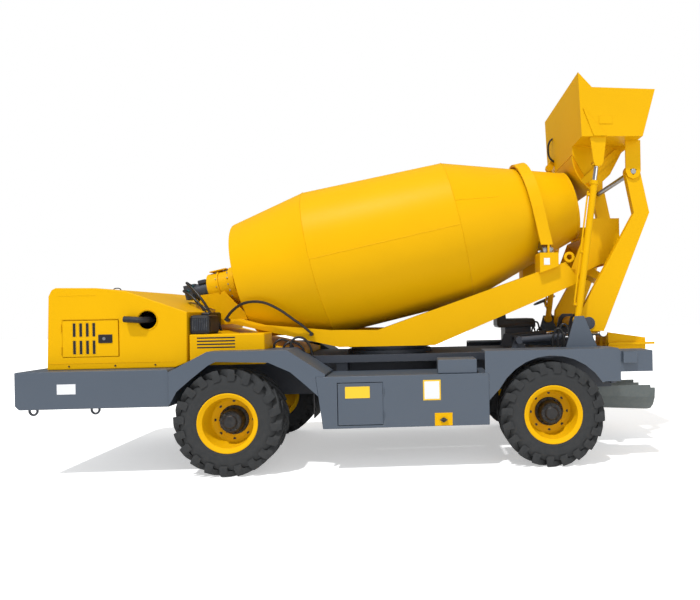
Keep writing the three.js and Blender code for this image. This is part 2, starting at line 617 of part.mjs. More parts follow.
function dischargeHopper() {
  const outline = from(REAR_AXLE_X, [[3840, 2440], [3689, 2058], [3689, 1962], [4050, 2130], [4180, 2130],
    [4270, 2330], [4270, 2660], [3890, 2660], [3890, 2440]]);
  const mouth = from(REAR_AXLE_X, [[3830, 2800], [3830, 2460], [3852, 2440], [4062, 2138], [4062, 2050],
    [4172, 2050], [4172, 2140], [4260, 2332], [4260, 2800]]);
  const below = from(REAR_AXLE_X, [[3600, 2440], [3828, 2440], [4044, 2126], [4044, 1700], [3600, 1700]]);
  const inside = HOPPER_HALF_WIDTH - HOPPER_WALL;
  const funnel = cut(plate(outline, -HOPPER_HALF_WIDTH, HOPPER_HALF_WIDTH),
    plate(mouth, -inside, inside), plate(below, -inside, inside));
  const cross = box(REAR_AXLE_X + 3560, FRONT_CROSS_X, -CROSS_REACH, CROSS_REACH, 1960, 2060);
  const chuteShelf = box(FRONT_CROSS_X - 1, CHUTE_PIVOT_X + 45, -60, 60, 1962, 1982);
  return join(funnel, cross, chuteShelf);
}

function dischargeChute() {
  const x0 = CHUTE_PIVOT_X + 20;
  const x1 = REAR_AXLE_X + 4250;
  const trough = plate([[x0, 2040], [x0, 2150], [x1, 1965], [x1, 1855]], -160, 160);
  const hollow = plate([[x0 - 20, 2062], [x0 - 20, 2250], [x1 + 20, 2250], [x1 + 20, 1856]], -150, 150);
  const neck = box(CHUTE_PIVOT_X - 35, CHUTE_PIVOT_X + 45, -35, 35, 2020, 2050);
  const knuckle = bar([CHUTE_PIVOT_X, 0, 1982 + SEAT_GAP], [CHUTE_PIVOT_X, 0, 2030], 35);
  return join(cut(trough, hollow), neck, knuckle);
}

// ---------------------------------------------------------------- axles and wheels

function rearAxle() {
  const end = WHEEL_Y - DISC_OFFSET - SEAT_GAP;
  const beamPiece = box(REAR_AXLE_X - AXLE_HALF_WIDTH, REAR_AXLE_X + AXLE_HALF_WIDTH, -640, 640,
    TYRE_RADIUS - AXLE_HALF_HEIGHT, TYRE_RADIUS + AXLE_HALF_HEIGHT);
  const tube = bar([REAR_AXLE_X, -end, TYRE_RADIUS], [REAR_AXLE_X, end, TYRE_RADIUS], 85, 20);
  const bulge = bar([REAR_AXLE_X - 40, 0, TYRE_RADIUS], [REAR_AXLE_X + 260, 0, TYRE_RADIUS], 150, 20);
  return join(beamPiece, tube, bulge, ...axleSaddles(REAR_AXLE_X));
}

function axleSaddles(x) {
  return SIDES.map(([side]) => sideBox(side, x - 90, x + 90, RAIL_OUTER_Y - 90, RAIL_OUTER_Y + 30,
    TYRE_RADIUS, RAIL_BOTTOM_Z - SEAT_GAP));
}

function frontAxle() {
  const body = box(FRONT_AXLE_X - AXLE_HALF_WIDTH, FRONT_AXLE_X + AXLE_HALF_WIDTH, -590, 590,
    TYRE_RADIUS - AXLE_HALF_HEIGHT, TYRE_RADIUS + AXLE_HALF_HEIGHT);
  const bulge = bar([FRONT_AXLE_X - 240, 0, TYRE_RADIUS], [FRONT_AXLE_X + 60, 0, TYRE_RADIUS], 150, 20);
  const reach = KNUCKLE_HALF_HEIGHT + SEAT_GAP + EAR_THICKNESS;
  const ears = SIDES.flatMap(([side]) => {
    const stem = sideBox(side, FRONT_AXLE_X - 55, FRONT_AXLE_X + 55,
      580, KINGPIN_Y - KNUCKLE_RADIUS - RUN_GAP,
      TYRE_RADIUS - reach, TYRE_RADIUS + reach);
    const arms = [-1, 1].map((up) => {
      const low = TYRE_RADIUS + up * (KNUCKLE_HALF_HEIGHT + SEAT_GAP);
      const high = low + up * EAR_THICKNESS;
      return sideBox(side, FRONT_AXLE_X - 55, FRONT_AXLE_X + 55, 600, KINGPIN_Y + 45,
        Math.min(low, high), Math.max(low, high));
    });
    return [stem, ...arms];
  });
  return join(body, bulge, ...ears, ...axleSaddles(FRONT_AXLE_X));
}

function knuckle(side) {
  const y = side * KINGPIN_Y;
  const post = bar([FRONT_AXLE_X, y, TYRE_RADIUS - KNUCKLE_HALF_HEIGHT],
    [FRONT_AXLE_X, y, TYRE_RADIUS + KNUCKLE_HALF_HEIGHT], KNUCKLE_RADIUS, 20);
  const spindle = disc(side, FRONT_AXLE_X, TYRE_RADIUS, 75, KINGPIN_Y, WHEEL_Y - DISC_OFFSET - SEAT_GAP, 20);
  return join(post, spindle);
}

// Rim with its dished disc and hub, turned about the X axis, outboard towards +X.
function rim() {
  const half = RIM_HALF_WIDTH;
  const seat = RIM_SEAT_RADIUS;
  const flange = RIM_FLANGE_RADIUS;
  const wall = RIM_WALL;
  const back = -DISC_OFFSET;
  const disc0 = back + DISC_THICKNESS;
  const profile = [[back, 0], [back, seat - wall], [-half - wall, seat - wall], [-half - wall, flange],
    [-half, flange], [-half, seat], [half, seat], [half, flange], [half + wall, flange],
    [half + wall, seat - wall], [disc0, seat - wall], [disc0, HUB_RADIUS + 30],
    [disc0 + 25, HUB_RADIUS + 15], [disc0 + 25, HUB_RADIUS], [back + HUB_LENGTH - 20, HUB_RADIUS],
    [back + HUB_LENGTH, HUB_RADIUS - 25], [back + HUB_LENGTH, 0]];
  return turned(profile, WHEEL_SEGMENTS);
}

function tyre() {
  const bead = RIM_HALF_WIDTH - SEAT_GAP;
  const foot = RIM_SEAT_RADIUS + SEAT_GAP;
  const half = TYRE_WIDTH / 2;
  const treadRadius = TYRE_RADIUS / Math.cos(Math.PI / WHEEL_SEGMENTS);
  const profile = [[-bead, foot], [bead, foot], [bead, RIM_FLANGE_RADIUS + 4], [half - 6, 335],
    [half, 400], [half, 470], [half - 12, 512], [half - 50, treadRadius - 5], [0, treadRadius]];
  const mirrored = profile.slice(2, -1).reverse().map(([x, r]) => [-x, r]);
  return turned([...profile, ...mirrored, profile[0]], WHEEL_SEGMENTS);
}

function placeWheels() {
  for (const [axleX, row] of [[REAR_AXLE_X, 'rear'], [FRONT_AXLE_X, 'front']]) {
    for (const [side, name] of SIDES) {
      const wheel = new THREE.Group();
      wheel.position.set(axleX, side * WHEEL_Y, TYRE_RADIUS);
      wheel.rotation.z = (side * Math.PI) / 2;
      model.add(wheel);
      part(`wheel_rim_${row}_${name}`, rim(), YELLOW, wheel);
      part(`tyre_${row}_${name}`, tyre(), RUBBER, wheel);
    }
  }
}

// ---------------------------------------------------------------- loader

const BUCKET_PIN_X = ARM_PIVOT_X + BUCKET_PIN_DX;
const BUCKET_PIN_Z = ARM_PIVOT_Z + BUCKET_PIN_DZ;
const BUCKET_DATUM_X = ARM_PIVOT_X + 470;
const BUCKET_DATUM_Z = ARM_PIVOT_Z + 1840;
const TILT_EYE_X = BUCKET_PIN_X + TILT_EYE_DX;
const TILT_EYE_Z = BUCKET_PIN_Z + TILT_EYE_DZ;

// Outline points given from the bucket's datum, which is set by its floor and its front edge.
function fromDatum(points) {
  return points.map(([x, z]) => [BUCKET_DATUM_X + x, BUCKET_DATUM_Z + z]);
}

// A lug's outline round an eye, widening up to the bucket's floor.
function lugOutline(eyeX, eyeZ, half, top) {
  const floor = BUCKET_DATUM_Z + FLOOR_Z + 1;
  return [[eyeX - top, floor], [eyeX - half, eyeZ], [eyeX - half * 0.7, eyeZ - half * 0.7],
    [eyeX, eyeZ - half], [eyeX + half * 0.7, eyeZ - half * 0.7], [eyeX + half, eyeZ], [eyeX + top, floor]];
}

function liftArm(side) {
  const kneeBack = [KNEE_DX - KNEE_HALF_WIDTH, KNEE_DZ];
  const kneeFront = [KNEE_DX + KNEE_HALF_WIDTH, KNEE_DZ];
  const lower = [[171, -91], kneeFront, kneeBack, [-73, 148], [-85, 0], [-60, -60], [0, -85]]
    .map(([x, z]) => [ARM_PIVOT_X + x, ARM_PIVOT_Z + z]);
  const upper = [[ARM_PIVOT_X + kneeBack[0], ARM_PIVOT_Z + KNEE_DZ - 24],
    [ARM_PIVOT_X + kneeFront[0], ARM_PIVOT_Z + KNEE_DZ - 1],
    [BUCKET_PIN_X + BOSS_RADIUS, BUCKET_PIN_Z], [BUCKET_PIN_X - BOSS_RADIUS, BUCKET_PIN_Z]];
  const boss = disc(side, BUCKET_PIN_X, BUCKET_PIN_Z, BOSS_RADIUS, ARM_INNER_Y, ARM_OUTER_Y, 24);
  const pinHole = disc(side, BUCKET_PIN_X, BUCKET_PIN_Z, boreRadius(PIN_RADIUS, 24),
    ARM_INNER_Y - 5, ARM_OUTER_Y + 5, 24);
  return cut(join(sidePlate(side, lower, ARM_INNER_Y, ARM_OUTER_Y),
    sidePlate(side, upper, ARM_INNER_Y, ARM_OUTER_Y), boss), pinHole);
}

// Tube between the arms at their pivot, with a lever for each lift cylinder.
function torqueTube() {
  const reach = ARM_INNER_Y - SEAT_GAP;
  const tube = bar([ARM_PIVOT_X, -reach, ARM_PIVOT_Z], [ARM_PIVOT_X, reach, ARM_PIVOT_Z],
    TORQUE_TUBE_RADIUS, 24);
  const leverEnd = [ARM_PIVOT_X + LEVER_DX, ARM_PIVOT_Z + LEVER_DZ];
  const levers = SIDES.map(([side]) => {
    const inner = LIFT_Y - BARREL_RADIUS - LUG_THICKNESS - SEAT_GAP;
    const link = linkOutline([ARM_PIVOT_X, ARM_PIVOT_Z], leverEnd, 42);
    return sidePlate(side, link, inner, inner + LUG_THICKNESS);
  });
  return join(tube, ...levers);
}

function bucketShaft() {
  const reach = ARM_OUTER_Y + LUG_THICKNESS + 5;
  return bar([BUCKET_PIN_X, -reach, BUCKET_PIN_Z], [BUCKET_PIN_X, reach, BUCKET_PIN_Z], PIN_RADIUS, 24);
}

const FLOOR_Z = 186;            // underside of the bucket's wide part, above its datum
const GATE_PIVOT_DX = -48;
const GATE_PIVOT_DZ = 107;
const GATE_RADIUS = 508.6;
const GATE_THICKNESS = 12;
const GATE_CHEEK_Y = THROAT_HALF_WIDTH + 12;
const GATE_CYLINDER_Y = 490;
const GATE_BASE_DX = -625;
const GATE_BASE_DZ = 160;
const GATE_LUG_RADIUS = 440;
const GATE_LUG_ANGLE = THREE.MathUtils.degToRad(220);
const GATE_LUG_DX = GATE_PIVOT_DX + GATE_LUG_RADIUS * Math.cos(GATE_LUG_ANGLE);
const GATE_LUG_DZ = GATE_PIVOT_DZ + GATE_LUG_RADIUS * Math.sin(GATE_LUG_ANGLE);
const GATE_BARREL_RADIUS = 28;
const GATE_ROD_RADIUS = 15;
const GATE_EYE_HALF = 23;

function bucket() {
  const wide = fromDatum([[-585, 881], [-435, 719], [259, 696], [116, FLOOR_Z], [-556, FLOOR_Z]]);
  const w = BUCKET_WALL;
  const wideHollow = fromDatum([[-585 + w + 3, 1100], [-556 + w, FLOOR_Z + w], [116 - w, FLOOR_Z + w],
    [259 - w, 696], [259 - w + 113, 1100]]);
  const throat = fromDatum([[-556, FLOOR_Z + 1], [-556, 92], [-323, -321], [-122, -139], [20, 120],
    [110, FLOOR_Z + 1]]);
  const throatHollow = fromDatum([[-556 + w, 300], [-556 + w, 100], [-640, 60], [-390, -400], [-320, -300],
    [-132, -128], [6, 124], [94, FLOOR_Z + w], [94, 300]]);
  const half = BUCKET_HALF_WIDTH;
  const slim = THROAT_HALF_WIDTH;
  const shell = cut(join(plate(wide, -half, half), plate(throat, -slim, slim)),
    plate(wideHollow, -half + w, half - w), plate(throatHollow, -slim + w, slim - w));
  return join(shell, ...SIDES.flatMap(([side]) => bucketLugs(side)), ...gateCylinderEars());
}

function bucketLugs(side) {
  const armLug = lugOutline(BUCKET_PIN_X, BUCKET_PIN_Z, BOSS_RADIUS, BOSS_RADIUS);
  const armInner = ARM_OUTER_Y + 1;
  const bore = disc(side, BUCKET_PIN_X, BUCKET_PIN_Z, boreRadius(PIN_RADIUS, 24), armInner - 5,
    armInner + LUG_THICKNESS + 5, 24);
  const tiltLug = lugOutline(TILT_EYE_X, TILT_EYE_Z, 55, 90);
  const tiltInner = TILT_Y + BARREL_RADIUS + 7;
  const gatePivot = disc(side, BUCKET_DATUM_X + GATE_PIVOT_DX, BUCKET_DATUM_Z + GATE_PIVOT_DZ, 40,
    THROAT_HALF_WIDTH - 1, GATE_CHEEK_Y - SEAT_GAP);
  return [cut(sidePlate(side, armLug, armInner, armInner + LUG_THICKNESS), bore),
    sidePlate(side, tiltLug, tiltInner, tiltInner + LUG_THICKNESS), gatePivot];
}

// Ears under the bucket's back edge for the gate cylinder's base eye.
function gateCylinderEars() {
  const outline = fromDatum([[-552, 300], [-552, 192], [-590, 128], [-640, 128], [-660, 160], [-650, 200]]);
  return [-1, 1].map((way) => {
    const near = GATE_CYLINDER_Y + way * (GATE_EYE_HALF + SEAT_GAP);
    const away = near + way * 12;
    return plate(outline, Math.min(near, away), Math.max(near, away));
  });
}

// Radial gate that closes the bucket's throat, turning on the throat's side plates.
function bucketGate() {
  const pivot = [BUCKET_DATUM_X + GATE_PIVOT_DX, BUCKET_DATUM_Z + GATE_PIVOT_DZ];
  const angles = Array.from({ length: 9 }, (_, i) => THREE.MathUtils.degToRad(184 + (i * 52) / 8));
  const at = (radius) => angles
    .map((a) => [pivot[0] + radius * Math.cos(a), pivot[1] + radius * Math.sin(a)]);
  const inner = GATE_RADIUS + RUN_GAP;
  const skin = plate([...at(inner), ...at(inner + GATE_THICKNESS).reverse()],
    -THROAT_HALF_WIDTH - 24, THROAT_HALF_WIDTH + 24);
  const linkHalf = 40;
  const tip = [pivot[0] + (inner + 8 - linkHalf) * Math.cos(GATE_LUG_ANGLE),
    pivot[1] + (inner + 8 - linkHalf) * Math.sin(GATE_LUG_ANGLE)];
  const cheeks = SIDES.map(([side]) => sidePlate(side, linkOutline(pivot, tip, linkHalf),
    GATE_CHEEK_Y, GATE_CHEEK_Y + 12));
  const boss = disc(FAR, BUCKET_DATUM_X + GATE_LUG_DX, BUCKET_DATUM_Z + GATE_LUG_DZ, 24,
    GATE_CHEEK_Y + 11, GATE_CYLINDER_Y - GATE_EYE_HALF - SEAT_GAP);
  return join(skin, ...cheeks, boss);
}

// ---------------------------------------------------------------- cylinders

// A hydraulic cylinder from its base eye towards its rod's eye, as barrel and rod solids.
// Each eye is a disc across the vehicle between two distances along Y.
function cylinder(base, eye, y, size) {
  const [bx, bz] = base;
  const length = Math.hypot(eye[0] - bx, eye[1] - bz);
  const [ux, uz] = [(eye[0] - bx) / length, (eye[1] - bz) / length];
  const at = (distance) => [bx + ux * distance, y, bz + uz * distance];
  const eyeDisc = (x, z) => bar([x, y - size.eyeIn, z], [x, y + size.eyeOut, z], size.eyeRadius, 14);
  const tube = bar(at(size.eyeRadius * 0.6), at(size.barrelLength - 5), size.barrelRadius, 16);
  const gland = bar(at(size.barrelLength - 40), at(size.barrelLength), size.barrelRadius + 7, 16);
  const bore = bar(at(size.boreStart), at(size.barrelLength + 5), size.rodRadius + SEAT_GAP, 12);
  return {
    barrel: cut(join(tube, gland, eyeDisc(bx, bz)), bore),
    rod: join(bar(at(size.rodStart), at(length - size.eyeRadius * 0.6), size.rodRadius, 12),
      eyeDisc(...eye)),
  };
}

function tiltCylinder(side) {
  const reach = BARREL_RADIUS + 7 - SEAT_GAP;
  return cylinder([TILT_BASE_X, TILT_BASE_Z], [TILT_EYE_X, TILT_EYE_Z], side * TILT_Y, {
    eyeIn: side > 0 ? 30 : reach, eyeOut: side > 0 ? reach : 30, eyeRadius: 50,
    barrelRadius: BARREL_RADIUS - 7, barrelLength: TILT_BARREL_LENGTH, boreStart: 1040,
    rodRadius: ROD_RADIUS, rodStart: 1060,
  });
}

function liftCylinder(side) {
  const reach = BARREL_RADIUS;
  const leverEnd = [ARM_PIVOT_X + LEVER_DX, ARM_PIVOT_Z + LEVER_DZ];
  return cylinder([LIFT_BASE_X, LIFT_BASE_Z], leverEnd, side * LIFT_Y, {
    eyeIn: side > 0 ? reach : 32, eyeOut: side > 0 ? 32 : reach, eyeRadius: 42,
    barrelRadius: BARREL_RADIUS - 7, barrelLength: LIFT_BARREL_LENGTH, boreStart: 60,
    rodRadius: ROD_RADIUS, rodStart: 480,
  });
}

function gateCylinder() {
  return cylinder([BUCKET_DATUM_X + GATE_BASE_DX, BUCKET_DATUM_Z + GATE_BASE_DZ],
    [BUCKET_DATUM_X + GATE_LUG_DX, BUCKET_DATUM_Z + GATE_LUG_DZ], GATE_CYLINDER_Y, {
      eyeIn: GATE_EYE_HALF, eyeOut: GATE_EYE_HALF, eyeRadius: 24,
      barrelRadius: GATE_BARREL_RADIUS - 6, barrelLength: 350, boreStart: 60,
      rodRadius: GATE_ROD_RADIUS, rodStart: 70,
    });
}

// ---------------------------------------------------------------- operator's place and trim

const SEAT_X = REAR_AXLE_X + 3160;
const SEAT_Y = 890;

function operatorStation() {
  const floor = FENDER_TOP_Z + SEAT_GAP;
  const footplate = box(SEAT_X - 90, SEAT_X + 680, SEAT_Y - 60, SEAT_Y + 140, floor, floor + 12);
  const pedestal = box(SEAT_X - 90, SEAT_X + 260, SEAT_Y - 200, SEAT_Y + 200, floor, floor + 180);
  const cabinet = box(SEAT_X + 560, SEAT_X + 660, SEAT_Y - 60, SEAT_Y + 140, floor, floor + 330);
  const column = bar([SEAT_X + 600, SEAT_Y + 40, floor + 300],
    [SEAT_X + 500, SEAT_Y + 40, floor + 540], 22, 16);
  const wheel = new THREE.TorusGeometry(150, 11, 8, 24);
  const tilt = new THREE.Vector3(-100, 0, 240).normalize();
  wheel.applyQuaternion(new THREE.Quaternion().setFromUnitVectors(new THREE.Vector3(0, 0, 1), tilt));
  wheel.translate(SEAT_X + 500, SEAT_Y + 40, floor + 540);
  const spoke = box(-148, 148, -12, 12, -5, 5);
  const turn = new THREE.Matrix4().makeRotationFromQuaternion(
    new THREE.Quaternion().setFromUnitVectors(new THREE.Vector3(0, 0, 1), tilt));
  turn.setPosition(SEAT_X + 500, SEAT_Y + 40, floor + 540);
  return join(footplate, pedestal, cabinet, column, solid(wheel), spoke.transform(turn.elements));
}

// Seat cushion and back as one padded piece.
function operatorSeat() {
  const z = FENDER_TOP_Z + SEAT_GAP + 180 + SEAT_GAP;
  return plate([[SEAT_X - 190, z], [SEAT_X + 330, z], [SEAT_X + 330, z + 110], [SEAT_X - 85, z + 110],
    [SEAT_X - 115, z + 420], [SEAT_X - 205, z + 420]], SEAT_Y - 225, SEAT_Y + 225);
}

// Nose plate of the frame, over the stowed chutes.
function nosePlate() {
  const start = REAR_AXLE_X + 4150 + SEAT_GAP;
  const end = REAR_AXLE_X + 4600;
  const wedge = plate([[start, 1000], [start, 1330], [end, 1260], [end, 1080]], -240, 240);
  const bars = SIDES.map(([side]) => sideBox(side, start, REAR_X + LENGTH, 239, 265, 1180, 1206));
  return join(wedge, ...bars);
}

// Hoses that are clamped along their whole route.
function hoses() {
  const route = [[-175, 34, 1560], [-100, 60, 1650], [60, 125, 1740], [250, 135, 1745], [430, 120, 1660],
    [560, 90, 1560], [660, 50, 1480], [745, 34, 1400]];
  const drumHose = hose(route.map(([x, out, z]) => [REAR_AXLE_X + x, -BEAM_OUTER_Y - out, z]), 15, 22);
  const foot = disc(NEAR, REAR_AXLE_X + 745, 1390, 20, BEAM_OUTER_Y + SEAT_GAP, BEAM_OUTER_Y + 50, 16);
  const head = disc(NEAR, REAR_AXLE_X - 150, 1562, 20, BEAM_OUTER_Y + SEAT_GAP, BEAM_OUTER_Y + 50, 16);
  return join(drumHose, foot, head);
}

// ---------------------------------------------------------------- the whole machine

function both(name, make, finish) {
  for (const [side, sideName] of SIDES) {
    part(`${name}_${sideName}`, make(side), finish);
  }
}

part('chassis_frame', chassisFrame(), DARK_SLATE);
part('counterweight', counterweight(), SLATE);
both('rear_fender', rearFender, SLATE);
both('side_tank', sideTank, SLATE);
part('toolbox_door', toolboxDoor(), SLATE);
both('front_fender', frontFender, SLATE);
part('stowed_chutes', stowedChutes(), CHUTE_GREY);
part('nose_plate', nosePlate(), YELLOW);

part('hood_shell', hoodShell(), YELLOW);
both('hood_door', hoodDoor, YELLOW);
part('engine_block', engineBlock(), BLACK);
part('exhaust_pipe', exhaustPipe(), BLACK);
part('oil_cooler', oilCooler(), BLACK);
part('pump_hood', pumpHood(), YELLOW);

part('turntable', turntable(), DARK_SLATE);
both('drum_beam', drumBeam, YELLOW);
part('drum_hoop', hoop(), YELLOW);
part('discharge_hopper', dischargeHopper(), YELLOW);
part('discharge_chute', dischargeChute(), YELLOW);
part('drum_shell', drumShell(), YELLOW, tilted);
part('drum_gearbox', gearbox(), YELLOW);
part('hydraulic_motor', hydraulicMotor(), STEEL, tilted);
for (const [side, name] of SIDES) {
  part(`drum_roller_${name}`, roller(side), STEEL, tilted);
}

part('rear_axle', rearAxle(), BLACK);
part('front_axle', frontAxle(), BLACK);
both('steering_knuckle', knuckle, BLACK);
placeWheels();

both('lift_arm', liftArm, YELLOW);
part('torque_tube', torqueTube(), YELLOW);
part('bucket_shaft', bucketShaft(), STEEL);
part('loader_bucket', bucket(), YELLOW);
part('bucket_gate', bucketGate(), YELLOW);
const gateRam = gateCylinder();
part('gate_barrel', gateRam.barrel, YELLOW);
part('gate_rod', gateRam.rod, CHROME);
for (const [side, name] of SIDES) {
  const tiltRam = tiltCylinder(side);
  part(`tilt_barrel_${name}`, tiltRam.barrel, YELLOW);
  part(`tilt_rod_${name}`, tiltRam.rod, CHROME);
  const liftRam = liftCylinder(side);
  part(`lift_barrel_${name}`, liftRam.barrel, DARK_SLATE);
  part(`lift_rod_${name}`, liftRam.rod, CHROME);
}

part('operator_station', operatorStation(), DARK_SLATE);
part('operator_seat', operatorSeat(), BLACK);
part('hydraulic_hose', hoses(), BLACK);

export default model;
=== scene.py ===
"""Looks of a self-loading concrete mixer truck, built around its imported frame.

Metres, +Z up, +X towards the loader bucket, +Y to the machine's left.
"""

from __future__ import annotations

import json
import logging
import math
from dataclasses import dataclass, field
from enum import Enum
from functools import lru_cache
from typing import Iterable, Sequence

import bpy
from mathutils import Matrix, Vector

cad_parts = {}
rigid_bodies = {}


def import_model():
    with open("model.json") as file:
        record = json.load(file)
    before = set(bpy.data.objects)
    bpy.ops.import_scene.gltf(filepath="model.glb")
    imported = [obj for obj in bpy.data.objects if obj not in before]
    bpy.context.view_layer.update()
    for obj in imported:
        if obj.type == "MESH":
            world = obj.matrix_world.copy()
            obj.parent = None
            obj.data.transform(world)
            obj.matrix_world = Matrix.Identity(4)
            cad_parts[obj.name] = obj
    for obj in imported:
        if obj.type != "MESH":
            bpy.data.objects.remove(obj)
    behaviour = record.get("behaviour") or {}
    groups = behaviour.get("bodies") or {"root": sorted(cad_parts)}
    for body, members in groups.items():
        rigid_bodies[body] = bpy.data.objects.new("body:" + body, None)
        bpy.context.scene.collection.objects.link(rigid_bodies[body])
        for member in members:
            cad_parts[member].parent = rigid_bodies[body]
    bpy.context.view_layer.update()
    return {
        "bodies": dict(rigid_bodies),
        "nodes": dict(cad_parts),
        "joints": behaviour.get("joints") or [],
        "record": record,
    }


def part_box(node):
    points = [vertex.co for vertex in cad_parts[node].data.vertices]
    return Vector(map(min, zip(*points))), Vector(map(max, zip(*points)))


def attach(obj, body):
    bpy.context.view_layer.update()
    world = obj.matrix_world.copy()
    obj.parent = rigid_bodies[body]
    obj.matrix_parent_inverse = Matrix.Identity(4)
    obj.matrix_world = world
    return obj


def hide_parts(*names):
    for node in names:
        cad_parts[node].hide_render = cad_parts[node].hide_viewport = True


LOG = logging.getLogger("mixer_truck")

Point = tuple[float, float, float]
Station = tuple[float, float]
Colour = tuple[float, float, float]

REAR_AXLE_X = -1.315
MACHINE = "machine"


class Side(Enum):
    """The two sides of the machine, with the sign of their Y."""

    RIGHT = -1
    LEFT = 1

    @property
    def label(self) -> str:
        """The side's name in the frame's node names."""
        return self.name.lower()


# ------------------------------------------------------------------ finishes


def socket(group: bpy.types.NodeTree, label: str, kind: str, default: object = None,
           out: bool = False) -> None:
    """Adds a named socket to a shader node group.

    Args:
        group: The node group.
        label: The socket's name.
        kind: The socket's Blender type.
        default: Its value when nothing is linked, if it has one.
        out: True for an output.
    """
    made = group.interface.new_socket(name=label, in_out="OUTPUT" if out else "INPUT", socket_type=kind)
    if default is not None:
        made.default_value = default


def maths(tree: bpy.types.NodeTree, operation: str, first: object,
          second: object) -> bpy.types.NodeSocket:
    """Adds a Math node.

    Args:
        tree: The tree that it goes in.
        operation: The node's operation.
        first: A socket or a number.
        second: A socket or a number.

    Returns:
        The node's output.
    """
    node = tree.nodes.new("ShaderNodeMath")
    node.operation = operation
    for place, value in enumerate((first, second)):
        if isinstance(value, bpy.types.NodeSocket):
            tree.links.new(value, node.inputs[place])
        else:
            node.inputs[place].default_value = value
    return node.outputs[0]


def ramp(tree: bpy.types.NodeTree, value: bpy.types.NodeSocket, low: float,
         high: float) -> bpy.types.NodeSocket:
    """Adds a smooth step from 0 at low to 1 at high.

    Args:
        tree: The tree that it goes in.
        value: What is stepped.
        low: Where the step starts.
        high: Where it ends.

    Returns:
        The step's output.
    """
    node = tree.nodes.new("ShaderNodeMapRange")
    node.interpolation_type = "SMOOTHSTEP"
    node.inputs["From Min"].default_value = low
    node.inputs["From Max"].default_value = high
    tree.links.new(value, node.inputs["Value"])
    return node.outputs["Result"]


def noise(tree: bpy.types.NodeTree, where: bpy.types.NodeSocket, scale: float,
          detail: float) -> bpy.types.NodeSocket:
    """Adds a noise pattern in the object's own metres.

    Args:
        tree: The tree that it goes in.
        where: The coordinates.
        scale: Cells in a metre.
        detail: Octaves.

    Returns:
        The pattern, about 0.5 in the middle.
    """
    node = tree.nodes.new("ShaderNodeTexNoise")
    node.inputs["Scale"].default_value = scale
    node.inputs["Detail"].default_value = detail
    tree.links.new(where, node.inputs["Vector"])
    return node.outputs["Fac"]


def blended(tree: bpy.types.NodeTree, factor: bpy.types.NodeSocket, first: bpy.types.NodeSocket,
            second: bpy.types.NodeSocket) -> bpy.types.NodeSocket:
    """Adds a colour mix.

    Args:
        tree: The tree that it goes in.
        factor: 0 for the first colour, 1 for the second.
        first: A colour's socket.
        second: A colour's socket.

    Returns:
        The mixed colour.
    """
    node = tree.nodes.new("ShaderNodeMix")
    node.data_type = "RGBA"
    tree.links.new(factor, node.inputs[0])
    tree.links.new(first, node.inputs[6])
    tree.links.new(second, node.inputs[7])
    return node.outputs[2]


